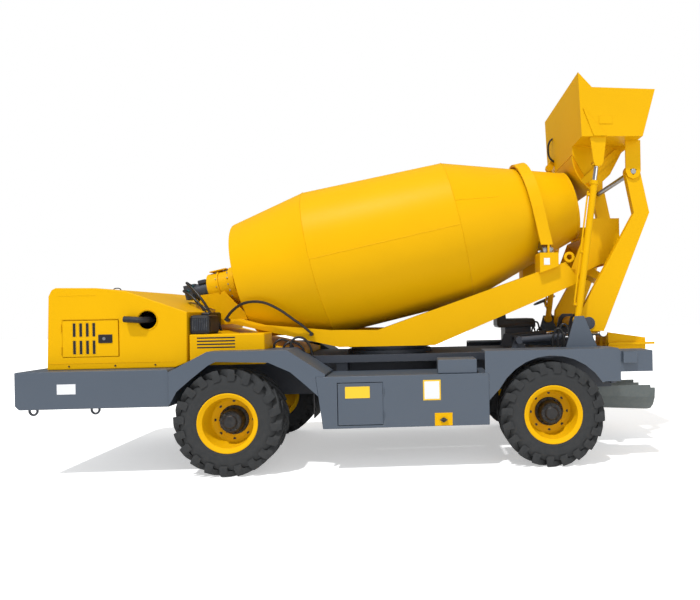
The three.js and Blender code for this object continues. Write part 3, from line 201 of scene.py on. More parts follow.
@lru_cache(maxsize=None)
def ageing_group() -> bpy.types.NodeTree:
    """Shader group for worn edges, road dust and fine grain on any finish.

    Returns:
        The group, which puts out a colour, a roughness and a height.
    """
    group = bpy.data.node_groups.new("ageing", "ShaderNodeTree")
    socket(group, "Colour", "NodeSocketColor", (0.8, 0.8, 0.8, 1.0))
    socket(group, "Worn Colour", "NodeSocketColor", (0.4, 0.4, 0.4, 1.0))
    socket(group, "Dust Colour", "NodeSocketColor", (0.42, 0.38, 0.32, 1.0))
    socket(group, "Roughness", "NodeSocketFloat", 0.5)
    socket(group, "Wear", "NodeSocketFloat", 0.3)
    socket(group, "Dust", "NodeSocketFloat", 0.3)
    socket(group, "Grain", "NodeSocketFloat", 0.5)
    socket(group, "Colour", "NodeSocketColor", out=True)
    socket(group, "Roughness", "NodeSocketFloat", out=True)
    socket(group, "Height", "NodeSocketFloat", out=True)
    given = group.nodes.new("NodeGroupInput")
    result = group.nodes.new("NodeGroupOutput")
    place = group.nodes.new("ShaderNodeTexCoord").outputs["Object"]
    surface = group.nodes.new("ShaderNodeNewGeometry")
    split = group.nodes.new("ShaderNodeSeparateXYZ")
    group.links.new(place, split.inputs[0])
    facing = group.nodes.new("ShaderNodeSeparateXYZ")
    group.links.new(surface.outputs["Normal"], facing.inputs[0])

    broad = noise(group, place, 1.7, 3.0)
    patchy = noise(group, place, 23.0, 8.0)
    fine = noise(group, place, 160.0, 3.0)

    tone = group.nodes.new("ShaderNodeHueSaturation")
    group.links.new(given.outputs["Colour"], tone.inputs["Color"])
    shade = maths(group, "ADD", 0.95, maths(group, "MULTIPLY", broad, 0.1))
    group.links.new(shade, tone.inputs["Value"])
    bevel = group.nodes.new("ShaderNodeBevel")
    bevel.samples = 4
    bevel.inputs["Radius"].default_value = 0.007
    agree = group.nodes.new("ShaderNodeVectorMath")
    agree.operation = "DOT_PRODUCT"
    group.links.new(bevel.outputs["Normal"], agree.inputs[0])
    group.links.new(surface.outputs["Normal"], agree.inputs[1])
    edge = ramp(group, maths(group, "SUBTRACT", 1.0, agree.outputs["Value"]), 0.03, 0.22)
    chipped = maths(group, "MULTIPLY", edge, ramp(group, patchy, 0.47, 0.62))
    worn = maths(group, "MULTIPLY", chipped, given.outputs["Wear"])
    low = maths(group, "SUBTRACT", 1.0, ramp(group, split.outputs["Z"], 0.15, 1.35))
    flat = maths(group, "MULTIPLY", ramp(group, facing.outputs["Z"], 0.55, 0.98), 0.45)
    settled = maths(group, "ADD", maths(group, "MULTIPLY", low, 0.6), flat)
    streaks = maths(group, "MULTIPLY", settled, ramp(group, patchy, 0.2, 0.8))
    dusty = maths(group, "MULTIPLY", streaks, given.outputs["Dust"])

    painted = blended(group, worn, tone.outputs["Color"], given.outputs["Worn Colour"])
    coated = blended(group, dusty, painted, given.outputs["Dust Colour"])
    group.links.new(coated, result.inputs["Colour"])
    dulled = maths(group, "ADD", given.outputs["Roughness"], maths(group, "MULTIPLY", dusty, 0.4))
    uneven = maths(group, "MULTIPLY", maths(group, "SUBTRACT", patchy, 0.5), 0.1)
    mottled = maths(group, "ADD", dulled, uneven)
    group.links.new(mottled, result.inputs["Roughness"])
    group.links.new(maths(group, "MULTIPLY", fine, given.outputs["Grain"]), result.inputs["Height"])
    return group


@dataclass(frozen=True)
class Finish:
    """A surface finish and how far it has aged.

    Attributes:
        slot: The record's material slot.
        colour: Its clean colour.
        roughness: Its clean roughness.
        metallic: 1 for bare metal.
        coat: Weight of a clear coat.
        worn_colour: What shows where an edge is chipped.
        wear: How much the edges are chipped.
        dust: How much dust lies on it.
        dust_colour: The dust's colour.
        grain: How strong the fine grain is.
        grain_height: The grain's depth in metres.
        shade: Its own name, where one slot has more than one finish.
        specular: How strong the surface's mirror-like part is.
    """

    slot: str
    colour: Colour
    roughness: float
    metallic: float = 0.0
    coat: float = 0.0
    worn_colour: Colour = (0.35, 0.34, 0.32)
    wear: float = 0.3
    dust: float = 0.25
    dust_colour: Colour = (0.42, 0.38, 0.31)
    grain: float = 0.5
    grain_height: float = 0.0004
    shade: str = ""
    specular: float = 0.5

    def material(self) -> bpy.types.Material:
        """The finish as a Blender material, made once."""
        return finish_material(self)


@lru_cache(maxsize=None)
def finish_material(finish: Finish) -> bpy.types.Material:
    """Makes a finish's material.

    Args:
        finish: The finish.

    Returns:
        The material.
    """
    material = bpy.data.materials.new(f"{finish.shade or finish.slot}_finish")
    material.use_nodes = True
    tree = material.node_tree
    shader = tree.nodes["Principled BSDF"]
    shader.inputs["Metallic"].default_value = finish.metallic
    shader.inputs["Coat Weight"].default_value = finish.coat
    shader.inputs["Coat Roughness"].default_value = 0.12
    shader.inputs["Specular IOR Level"].default_value = finish.specular
    ageing = tree.nodes.new("ShaderNodeGroup")
    ageing.node_tree = ageing_group()
    ageing.inputs["Colour"].default_value = (*finish.colour, 1.0)
    ageing.inputs["Worn Colour"].default_value = (*finish.worn_colour, 1.0)
    ageing.inputs["Dust Colour"].default_value = (*finish.dust_colour, 1.0)
    ageing.inputs["Roughness"].default_value = finish.roughness
    ageing.inputs["Wear"].default_value = finish.wear
    ageing.inputs["Dust"].default_value = finish.dust
    ageing.inputs["Grain"].default_value = finish.grain
    bump = tree.nodes.new("ShaderNodeBump")
    bump.inputs["Distance"].default_value = finish.grain_height
    tree.links.new(ageing.outputs["Colour"], shader.inputs["Base Color"])
    tree.links.new(ageing.outputs["Roughness"], shader.inputs["Roughness"])
    tree.links.new(ageing.outputs["Height"], bump.inputs["Height"])
    tree.links.new(bump.outputs["Normal"], shader.inputs["Normal"])
    return material


YELLOW = Finish("painted_yellow", (0.71, 0.384, 0.0015), 0.42, wear=0.25, dust=0.015,
                worn_colour=(0.40, 0.20, 0.02), specular=0.06)
SLATE = Finish("painted_slate", (0.068, 0.088, 0.118), 0.46, coat=0.05, wear=0.35, dust=0.02,
               specular=0.4)
DARK_SLATE = Finish("painted_dark_slate", (0.036, 0.043, 0.058), 0.48, wear=0.35, dust=0.12,
                    specular=0.4)
BLACK = Finish("painted_black", (0.010, 0.010, 0.012), 0.5, wear=0.25, dust=0.08, specular=0.4)
CHUTE = Finish("painted_chute", (0.095, 0.115, 0.115), 0.5, wear=0.4, dust=0.2)
TYRE = Finish("tyre_rubber", (0.024, 0.026, 0.028), 0.78, wear=0.2, dust=0.16,
              worn_colour=(0.05, 0.05, 0.055), dust_colour=(0.15, 0.14, 0.13), grain=1.0,
              grain_height=0.0012, specular=0.35)
HOSE = Finish("hose_rubber", (0.010, 0.010, 0.011), 0.42, wear=0.1, dust=0.05)
STEEL = Finish("bare_steel", (0.30, 0.31, 0.32), 0.36, metallic=1.0, wear=0.2, dust=0.1,
               worn_colour=(0.6, 0.6, 0.62))
CHROME = Finish("chrome_rod", (0.78, 0.79, 0.81), 0.14, metallic=1.0, wear=0.0, dust=0.02, grain=0.1)
VINYL = Finish("seat_vinyl", (0.018, 0.018, 0.020), 0.5, wear=0.1, dust=0.05, grain=1.0,
               grain_height=0.0006)
PLATE_WHITE = Finish("painted_slate", (0.70, 0.72, 0.76), 0.4, wear=0.0, dust=0.08,
                     shade="blank_white")
PLATE_YELLOW = Finish("painted_yellow", (0.78, 0.50, 0.01), 0.4, wear=0.05, dust=0.05,
                      shade="blank_yellow")
TEAL = Finish("painted_dark_slate", (0.02, 0.17, 0.21), 0.35, wear=0.1, dust=0.05,
              shade="port_cap_teal")


# ------------------------------------------------------------------ workshop


def deselect() -> None:
    """Leaves nothing selected."""
    bpy.ops.object.select_all(action="DESELECT")


def take(piece: bpy.types.Object) -> bpy.types.Object:
    """Selects one piece alone and makes it active.

    Args:
        piece: The piece.

    Returns:
        The same piece.
    """
    deselect()
    piece.select_set(True)
    bpy.context.view_layer.objects.active = piece
    return piece


def editing(on: bool) -> None:
    """Enters edit mode with all selected, or leaves it.

    Args:
        on: True to enter, False to leave.
    """
    bpy.ops.object.mode_set(mode="EDIT" if on else "OBJECT")
    if on:
        bpy.ops.mesh.select_mode(type="VERT")
        bpy.ops.mesh.select_all(action="SELECT")


def settle(piece: bpy.types.Object, matrix: Matrix | None = None) -> bpy.types.Object:
    """Moves a piece by a matrix, with its place put into its mesh.

    Args:
        piece: The piece.
        matrix: Where it goes, from where it was modelled.

    Returns:
        The same piece, at the origin.
    """
    take(piece)
    if matrix is not None:
        piece.matrix_world = matrix @ piece.matrix_world
        bpy.context.view_layer.update()
    bpy.ops.object.transform_apply(location=True, rotation=True, scale=True)
    return piece


def rounded(piece: bpy.types.Object, width: float, segments: int = 2,
            limit: float = 30.0) -> bpy.types.Object:
    """Rounds a piece's sharp edges with a bevel that is applied.

    Args:
        piece: The piece.
        width: The bevel's width.
        segments: Steps round it.
        limit: Edges sharper than this many degrees are rounded.

    Returns:
        The same piece.
    """
    take(piece)
    bevel = piece.modifiers.new("edge", "BEVEL")
    bevel.width = width
    bevel.segments = segments
    bevel.limit_method = "ANGLE"
    bevel.angle_limit = math.radians(limit)
    bpy.ops.object.modifier_apply(modifier=bevel.name)
    return piece


def smooth(piece: bpy.types.Object, angle: float = 35.0) -> bpy.types.Object:
    """Shades a piece smooth where its faces meet at less than an angle.

    Args:
        piece: The piece.
        angle: The angle in degrees.

    Returns:
        The same piece.
    """
    take(piece)
    bpy.ops.object.shade_smooth_by_angle(angle=math.radians(angle))
    return piece


def dressed(piece: bpy.types.Object, finish: Finish, body: str, *nodes: str) -> bpy.types.Object:
    """Gives a piece its finish and its body, and hides the frame nodes that it replaces.

    Args:
        piece: The piece.
        finish: Its finish.
        body: The body that it rides on.
        *nodes: The frame nodes that it replaces.

    Returns:
        The same piece.
    """
    piece.data.materials.clear()
    piece.data.materials.append(finish.material())
    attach(piece, body)
    if nodes:
        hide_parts(*nodes)
    return piece


def block(name: str, low: Sequence[float], high: Sequence[float], edge: float = 0.0) -> bpy.types.Object:
    """Adds a box between two corners.

    Args:
        name: The piece's name.
        low: Its lowest corner.
        high: Its highest corner.
        edge: Width of its rounded edges.

    Returns:
        The box.
    """
    deselect()
    lowest, highest = Vector(low), Vector(high)
    bpy.ops.mesh.primitive_cube_add(size=1.0, location=(lowest + highest) / 2)
    piece = bpy.context.active_object
    piece.name = name
    piece.scale = highest - lowest
    settle(piece)
    return rounded(piece, edge) if edge > 0 else piece


def rod(name: str, start: Sequence[float], end: Sequence[float], radius: float, sides: int = 24,
        edge: float = 0.0) -> bpy.types.Object:
    """Adds a round bar between two points.

    Args:
        name: The piece's name.
        start: One end.
        end: The other end.
        radius: Its radius.
        sides: Sides round it, six for a bolt's head.
        edge: Width of its rounded ends.

    Returns:
        The bar.
    """
    deselect()
    first, last = Vector(start), Vector(end)
    along = last - first
    bpy.ops.mesh.primitive_cylinder_add(vertices=sides, radius=radius, depth=along.length)
    piece = bpy.context.active_object
    piece.name = name
    turn = Vector((0, 0, 1)).rotation_difference(along).to_matrix().to_4x4()
    settle(piece, Matrix.Translation((first + last) / 2) @ turn)
    if edge > 0:
        rounded(piece, edge, 2, 40)
    return smooth(piece, 35) if sides > 8 else piece


def outline_start(name: str, points: Sequence[Point]) -> bpy.types.Object:
    """Draws a run of edges, by extruding one vertex from point to point, and stays in edit mode.

    Args:
        name: The piece's name.
        points: The run's points.

    Returns:
        The run.
    """
    deselect()
    bpy.ops.mesh.primitive_plane_add(size=0.01, location=points[0])
    piece = bpy.context.active_object
    piece.name = name
    settle(piece)
    editing(True)
    bpy.ops.mesh.merge(type="CENTER")
    for first, second in zip(points, points[1:]):
        step = Vector(second) - Vector(first)
        bpy.ops.mesh.extrude_region_move(TRANSFORM_OT_translate={"value": step})
    bpy.ops.mesh.select_all(action="SELECT")
    return piece


def turned(name: str, profile: Sequence[Station], steps: int, matrix: Matrix,
           sweep: float = math.tau, edge: float = 0.0) -> bpy.types.Object:
    """Turns a profile of [station, radius] points about the X axis and puts it in place.

    Args:
        name: The piece's name.
        profile: The profile, closed on itself or ending on the axis.
        steps: Steps round the turn.
        matrix: Where the piece goes.
        sweep: The angle of the turn.
        edge: Width of its rounded corners.

    Returns:
        The turned piece.
    """
    piece = outline_start(name, [(station, 0.0, radius) for station, radius in profile])
    bpy.ops.mesh.spin(steps=steps, angle=sweep, center=(0, 0, 0), axis=(1, 0, 0))
    bpy.ops.mesh.select_all(action="SELECT")
    bpy.ops.mesh.remove_doubles(threshold=1e-5)
    if sweep < math.tau:
        bpy.ops.mesh.select_all(action="DESELECT")
        bpy.ops.mesh.select_non_manifold()
        bpy.ops.mesh.edge_face_add()
        bpy.ops.mesh.select_all(action="SELECT")
    bpy.ops.mesh.normals_make_consistent(inside=False)
    editing(False)
    settle(piece, matrix)
    if edge > 0:
        rounded(piece, edge, 2, 22)
    return smooth(piece, 32)


def plate(name: str, points: Sequence[Station], y0: float, y1: float,
          edge: float = 0.0) -> bpy.types.Object:
    """Cuts an outline of [x, z] points from a plate between two Y values.

    Args:
        name: The piece's name.
        points: The outline.
        y0: One face's Y.
        y1: The other face's Y.
        edge: Width of its rounded edges.

    Returns:
        The plate.
    """
    piece = outline_start(name, [(x, y0, z) for x, z in points])
    bpy.ops.mesh.edge_face_add()
    bpy.ops.mesh.extrude_region_move(TRANSFORM_OT_translate={"value": (0, y1 - y0, 0)})
    bpy.ops.mesh.select_all(action="SELECT")
    bpy.ops.mesh.normals_make_consistent(inside=False)
    editing(False)
    if edge > 0:
        rounded(piece, edge)
    return piece


def pipe(name: str, points: Iterable[Sequence[float]], radius: float) -> bpy.types.Object:
    """Runs a smooth hose or pipe through points.

    Args:
        name: The piece's name.
        points: The middle line's points.
        radius: The hose's radius.

    Returns:
        The hose as a mesh with closed ends.
    """
    deselect()
    bpy.ops.curve.primitive_bezier_curve_add()
    piece = bpy.context.active_object
    piece.name = name
    curve = piece.data
    curve.splines.clear()
    route = [Vector(point) for point in points]
    spline = curve.splines.new("BEZIER")
    spline.bezier_points.add(len(route) - 1)
    for knot, place in zip(spline.bezier_points, route):
        knot.co = place
        knot.handle_left_type = "AUTO"
        knot.handle_right_type = "AUTO"
    curve.resolution_u = 8
    curve.bevel_depth = radius
    curve.bevel_resolution = 3
    curve.use_fill_caps = True
    take(piece)
    bpy.ops.object.convert(target="MESH")
    piece = settle(bpy.context.active_object)
    return smooth(piece, 60)


def joined(name: str, pieces: Sequence[bpy.types.Object]) -> bpy.types.Object:
    """Joins pieces into one.

    Args:
        name: The joined piece's name.
        pieces: What is joined.

    Returns:
        The joined piece.
    """
    deselect()
    for piece in pieces:
        piece.select_set(True)
    bpy.context.view_layer.objects.active = pieces[0]
    bpy.ops.object.join()
    made = bpy.context.active_object
    made.name = name
    return made


def repeated(source: bpy.types.Object, name: str, matrix: Matrix, flip: bool = False) -> bpy.types.Object:
    """Copies a piece, mesh and all, and moves the copy.

    Args:
        source: What is copied.
        name: The copy's name.
        matrix: The move.
        flip: True where the matrix mirrors it.

    Returns:
        The copy.
    """
    take(source)
    bpy.ops.object.duplicate(linked=False)
    copy = bpy.context.active_object
    copy.name = name
    copy.data = copy.data.copy() if copy.data.users > 1 else copy.data
    settle(copy, matrix)
    if flip:
        editing(True)
        bpy.ops.mesh.normals_make_consistent(inside=False)
        editing(False)
    return copy


def softened(frame: dict, node: str, width: float, segments: int = 2,
             angle: float = 35.0) -> bpy.types.Object:
    """Copies a frame node and rounds its edges as a press brake or a grinder leaves them.

    Args:
        frame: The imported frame.
        node: The node's name.
        width: The rounding's width.
        segments: Steps round it.
        angle: The smooth shading's limit in degrees.

    Returns:
        The rounded copy.
    """
    piece = bpy.data.objects.new(f"{node}_skin", frame["nodes"][node].data.copy())
    bpy.context.scene.collection.objects.link(piece)
    take(piece)
    editing(True)
    bpy.ops.mesh.remove_doubles(threshold=2e-5)
    bpy.ops.mesh.dissolve_limited(angle_limit=math.radians(0.8))
    editing(False)
    if width > 0:
        rounded(piece, width, segments, 28)
    smooth(piece, angle)
    flats = piece.modifiers.new("flats", "WEIGHTED_NORMAL")
    flats.keep_sharp = True
    flats.weight = 90
    bpy.ops.object.modifier_apply(modifier=flats.name)
    return piece


def ringed(piece: bpy.types.Object, count: int) -> bpy.types.Object:
    """Repeats a piece round the X axis.

    Args:
        piece: The piece, off the axis.
        count: How many there are in all.

    Returns:
        The ring as one piece.
    """
    take(piece)
    editing(True)
    bpy.ops.mesh.spin(steps=count, angle=math.tau, center=(0, 0, 0), axis=(1, 0, 0), dupli=True)
    bpy.ops.mesh.select_all(action="SELECT")
    bpy.ops.mesh.remove_doubles(threshold=1e-5)
    editing(False)
    return piece


def axis_frame(origin: Sequence[float], along: Sequence[float]) -> Matrix:
    """A matrix that lays the X axis along a direction from an origin.

    Args:
        origin: Where the X axis starts.
        along: Its direction.

    Returns:
        The matrix.
    """
    turn = Vector((1, 0, 0)).rotation_difference(Vector(along)).to_matrix().to_4x4()
    return Matrix.Translation(Vector(origin)) @ turn


# ------------------------------------------------------------------ sub-assemblies


@dataclass
class Wheel:
    """A lugged tyre on a dished rim with a planetary hub, modelled about the X axis, outboard to +X."""

    tyre_radius: float = 0.5375
    lug_foot: float = 0.480
    lug_half: float = 0.034
    lug_taper: float = 0.007
    lugs: int = 20
    rim_bolts: int = 12

    def carcass(self) -> bpy.types.Object:
        """Turns the tyre without its lugs.

        Returns:
            The tyre's body, beads to the rim.
        """
        half = [(0.168, 0.266), (0.177, 0.284), (0.180, 0.305), (0.186, 0.318), (0.183, 0.328),
                (0.186, 0.350), (0.185, 0.385), (0.180, 0.415), (0.172, 0.442), (0.158, 0.466),
                (0.134, 0.480), (0.080, 0.488), (0.0, 0.491)]
        other = [(-station, radius) for station, radius in reversed(half[:-1])]
        profile = half + other + [half[0]]
        return turned("tyre_carcass", profile, 96, Matrix.Identity(4))

    def lug_row(self, way: int) -> bpy.types.Object:
        """One half of the tread: a slanted lug that wraps the shoulder, repeated round the tyre.

        Args:
            way: 1 for the outboard half, -1 for the inboard half.

        Returns:
            The row of lugs.
        """
        start, top, half = 0.004, self.tyre_radius - 0.001, self.lug_half
        piece = outline_start("lug_row", [(start, -half, self.lug_foot), (start, half, self.lug_foot),
                                          (start, half - self.lug_taper, top),
                                          (start, -half + self.lug_taper, top)])
        bpy.ops.mesh.edge_face_add()
        steps = [(0.055, 0.0, 5.0, 1.0), (0.05, -0.001, 6.5, 1.04), (0.045, -0.005, 5.5, 1.08),
                 (0.020, -0.010, 2.0, 1.08), (0.012, -0.030, 1.0, 0.95), (0.002, -0.016, 0.3, 0.9)]
        for out, rise, turn, swell in steps:
            bpy.ops.mesh.extrude_region_move(TRANSFORM_OT_translate={"value": (out, 0, rise)})
            bpy.ops.transform.rotate(value=math.radians(turn), orient_axis="X", center_override=(0, 0, 0))
            bpy.ops.transform.resize(value=(1, swell, 1), center_override=(0, 0, 0))
        bpy.ops.mesh.select_all(action="SELECT")
        bpy.ops.mesh.normals_make_consistent(inside=False)
        editing(False)
        rounded(piece, 0.007, 2, 35)
        if way < 0:
            mirror = Matrix.Scale(-1, 4, (1, 0, 0))
            settle(piece, Matrix.Rotation(math.pi / self.lugs, 4, "X") @ mirror)
        take(piece)
        editing(True)
        bpy.ops.mesh.normals_make_consistent(inside=False)
        editing(False)
        return smooth(ringed(piece, self.lugs), 30)

    def rim(self) -> bpy.types.Object:
        """Turns the rim, its well, flanges and dished disc.

        Returns:
            The rim.
        """
        profile = [(-0.055, 0.075), (-0.055, 0.240), (-0.184, 0.252), (-0.184, 0.300), (-0.172, 0.302),
                   (-0.165, 0.264), (0.165, 0.264), (0.172, 0.302), (0.184, 0.300), (0.186, 0.290),
                   (0.174, 0.268), (0.166, 0.252), (0.120, 0.247), (0.020, 0.238), (-0.020, 0.225),
                   (-0.036, 0.200), (-0.039, 0.180), (-0.039, 0.075), (-0.055, 0.075)]
        return rounded(turned("rim", profile, 80, Matrix.Identity(4)), 0.003, 2, 25)

    def hub(self) -> bpy.types.Object:
        """Turns the planetary hub with its cap, and sets its rings of bolts.

        Returns:
            The hub and its bolts as one piece.
        """
        profile = [(-0.052, 0.0), (-0.052, 0.150), (-0.028, 0.150), (-0.022, 0.122), (0.020, 0.120),
                   (0.070, 0.114), (0.088, 0.104), (0.092, 0.072), (0.108, 0.066), (0.118, 0.056),
                   (0.120, 0.0)]
        parts = [turned("hub_case", profile, 64, Matrix.Identity(4), edge=0.003)]
        rings = ((self.rim_bolts, 0.138, -0.028, -0.006, 0.011, 6), (10, 0.092, 0.084, 0.100, 0.008, 6),
                 (8, 0.196, -0.042, -0.0345, 0.015, 20))
        for count, radius, start, end, size, sides in rings:
            bolt = rod("hub_bolt", (start, 0, radius), (end, 0, radius), size, sides)
            parts.append(ringed(bolt, count))
        return joined("hub", parts)

    def build(self) -> None:
        """Models one wheel and sets a copy of it at each corner."""
        tyre = joined("tyre", [self.carcass(), self.lug_row(1), self.lug_row(-1)])
        rim, hub = self.rim(), self.hub()
        for row in ("rear", "front"):
            for side in Side:
                low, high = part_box(f"tyre_{row}_{side.label}")
                turn = Matrix.Rotation(side.value * math.pi / 2, 4, "Z")
                seat = Matrix.Translation((low + high) / 2) @ turn
                body = f"{row}_wheel_{side.label}"
                tag = f"{row}_{side.label}"
                dressed(repeated(tyre, f"tyre_tread_{tag}", seat), TYRE, body, f"tyre_{tag}")
                dressed(repeated(rim, f"rim_dish_{tag}", seat), YELLOW, body, f"wheel_rim_{tag}")
                dressed(repeated(hub, f"planet_hub_{tag}", seat), BLACK, body)
        for original in (tyre, rim, hub):
            bpy.data.objects.remove(original)


@dataclass
class Drum:
    """The mixing drum on its tilted axis."""

    pivot: Point = (0.136, 0.0, 2.356)
    tilt: float = math.radians(12.4)
    radius: float = 0.859
    wall: float = 0.014
    head_radius: float = 0.679
    boss_s: float = -1.703
    head_s: float = -1.553
    back_s: float = -0.695
    front_s: float = 0.950
    front_radius: float = 0.838
    mouth_s: float = 2.370
    mouth_radius: float = 0.405
    lip_width: float = 0.03
    ring_s: float = 1.850
    ring_width: float = 0.090
    ring_radius: float = 0.585
    bead_half: float = 0.007

    def matrix(self) -> Matrix:
        """Where the drum's own axis lies in the machine."""
        return Matrix.Translation(self.pivot) @ Matrix.Rotation(-self.tilt, 4, "Y")

    def cone_radius(self, station: float) -> float:
        """Outside radius of the front cone at a station."""
        slope = (self.front_radius - self.mouth_radius) / (self.mouth_s - self.front_s)
        return self.front_radius - slope * (station - self.front_s)

    def shell(self) -> bpy.types.Object:
        """Turns the drum's shell with its riding ring and rolled mouth.

        Returns:
            The shell.
        """
        ring0, ring1 = self.ring_s - self.ring_width / 2, self.ring_s + self.ring_width / 2
        lip, wall = self.mouth_s - self.lip_width, self.wall
        profile = [(self.boss_s, 0.0), (self.boss_s, 0.150), (self.head_s - 0.01, 0.172),
                   (self.head_s - 0.004, self.head_radius - 0.012), (self.head_s, self.head_radius),
                   (self.back_s, self.radius), (self.front_s, self.front_radius),
                   (ring0, self.cone_radius(ring0)), (ring0, self.ring_radius),
                   (ring1, self.ring_radius), (ring1, self.cone_radius(ring1)),
                   (lip, self.cone_radius(lip)), (lip, self.mouth_radius + 0.012),
                   (self.mouth_s, self.mouth_radius + 0.008), (self.mouth_s, self.mouth_radius - wall),
                   (self.front_s, self.front_radius - wall), (self.back_s, self.radius - wall),
                   (self.head_s + wall, self.head_radius - wall), (self.head_s + wall, 0.0)]
        return smooth(turned("drum_skin", profile, 160, self.matrix(), edge=0.003), 9)

    def bead(self, station: float, radius: float, size: float) -> bpy.types.Object:
        """A weld bead round the shell.

        Args:
            station: Its place along the axis.
            radius: Its radius.
            size: Its half width.

        Returns:
            The bead.
        """
        foot = radius - 0.004
        ring = [(station - size, foot), (station, radius + size * 0.55), (station + size, foot),
                (station - size, foot)]
        return turned("drum_bead", ring, 160, self.matrix())

    def seam(self, angle: float, start: float, end: float) -> bpy.types.Object:
        """A straight weld along the shell.

        Args:
            angle: Degrees up from level on the right side.
            start: Its back station.
            end: Its front station.

        Returns:
            The weld.
        """
        def place(station: float) -> Point:
            """The weld's point at a station.

            Args:
                station: Its place along the axis.

            Returns:
                The point, just under the shell's face.
            """
            if station > self.front_s:
                radius = self.cone_radius(station)
            else:
                share = (station - self.back_s) / (self.front_s - self.back_s)
                radius = self.radius + share * (self.front_radius - self.radius)
            reach, turn = radius - 0.0015, math.radians(angle)
            return (station, -reach * math.cos(turn), reach * math.sin(turn))

        return settle(rod("drum_seam", place(start), place(end), 0.0042, 12), self.matrix())

    def fins(self) -> list[bpy.types.Object]:
        """Winds the spiral mixing fins that show in the mouth.

        Returns:
            The two fins.
        """
        made = []
        for start in (0.0, math.pi):
            runs = []
            for step in range(37):
                station = self.mouth_s - 0.06 - step * 0.03
                outer = self.cone_radius(station) - self.wall - 0.002
                angle = start + step * math.radians(12)
                runs.append((station, outer, angle))
            edge = [(s, r * math.sin(a), r * math.cos(a)) for s, r, a in runs]
            strip = outline_start("drum_fin", edge)
            bpy.ops.mesh.extrude_region_move(TRANSFORM_OT_translate={"value": (0, 0, 0)})
            bpy.ops.transform.resize(value=(1, 0.68, 0.68), center_override=(0, 0, 0))
            editing(False)
            thick = strip.modifiers.new("thick", "SOLIDIFY")
            thick.thickness = 0.008
            take(strip)
            bpy.ops.object.modifier_apply(modifier=thick.name)
            made.append(smooth(settle(strip, self.matrix()), 50))
        return made

    def build(self) -> None:
        """Models the drum and what turns with it."""
        dressed(self.shell(), YELLOW, "drum", "drum_shell")
        beads = [self.bead(self.back_s, self.radius, self.bead_half),
                 self.bead(self.front_s, self.front_radius, self.bead_half),
                 self.seam(-1.5, self.back_s, self.front_s), self.seam(178.5, self.back_s, self.front_s),
                 self.seam(17.0, self.front_s, self.front_s + 0.50)]
        dressed(joined("drum_weld_beads", beads), YELLOW, "drum")
        dressed(joined("drum_fins", self.fins()), YELLOW, "drum")


@dataclass
class PaintedNodes:
    """Frame nodes whose shape is right, with their edges rounded and a finish.

    A star in a node's name stands for each side in turn.
    """

    frame: dict
    plain: dict[str, tuple[Finish, float]] = field(default_factory=lambda: {
        "chassis_frame": (DARK_SLATE, 0.004), "counterweight": (SLATE, 0.010),
        "turntable": (DARK_SLATE, 0.004), "rear_fender_*": (SLATE, 0.003),
        "side_tank_*": (SLATE, 0.006), "toolbox_door": (SLATE, 0.003),
        "front_fender_*": (SLATE, 0.003), "stowed_chutes": (CHUTE, 0.0015),
        "nose_plate": (YELLOW, 0.005), "hood_shell": (YELLOW, 0.014),
        "hood_door_*": (YELLOW, 0.003), "engine_block": (BLACK, 0.01), "exhaust_pipe": (BLACK, 0.0),
        "oil_cooler": (BLACK, 0.02), "pump_hood": (YELLOW, 0.01), "drum_beam_*": (YELLOW, 0.004),
        "drum_hoop": (YELLOW, 0.003), "discharge_hopper": (YELLOW, 0.003),
        "discharge_chute": (YELLOW, 0.003), "drum_gearbox": (YELLOW, 0.005),
        "hydraulic_motor": (DARK_SLATE, 0.006), "drum_roller_*": (STEEL, 0.004),
        "rear_axle": (BLACK, 0.008), "front_axle": (BLACK, 0.006),
        "steering_knuckle_*": (BLACK, 0.005), "lift_arm_*": (YELLOW, 0.006),
        "torque_tube": (YELLOW, 0.004), "bucket_shaft": (STEEL, 0.003),
        "loader_bucket": (YELLOW, 0.004), "bucket_gate": (YELLOW, 0.003),
        "gate_barrel": (YELLOW, 0.002), "gate_rod": (CHROME, 0.002),
        "tilt_barrel_*": (YELLOW, 0.003), "tilt_rod_*": (CHROME, 0.002),
        "lift_barrel_*": (DARK_SLATE, 0.003), "lift_rod_*": (CHROME, 0.002),
        "operator_station": (DARK_SLATE, 0.003), "hydraulic_hose": (HOSE, 0.0),
    })

    @staticmethod
    def matching(pattern: str) -> list[str]:
        """The nodes that a name with or without a star stands for.

        Args:
            pattern: The name.

        Returns:
            The name itself, or the right node and the left one.
        """
        if "*" not in pattern:
            return [pattern]
        return [pattern.replace("*", side.label) for side in Side]

    def build(self) -> None:
        """Rounds and dresses each node."""
        bodies = self.frame["record"]["behaviour"]["bodies"]
        owner = {node: body for body, nodes in bodies.items() for node in nodes}
        for pattern, (finish, width) in self.plain.items():
            for node in self.matching(pattern):
                piece = softened(self.frame, node, width)
                dressed(piece, finish, owner[node], node)
                LOG.info("dressed %s", node)


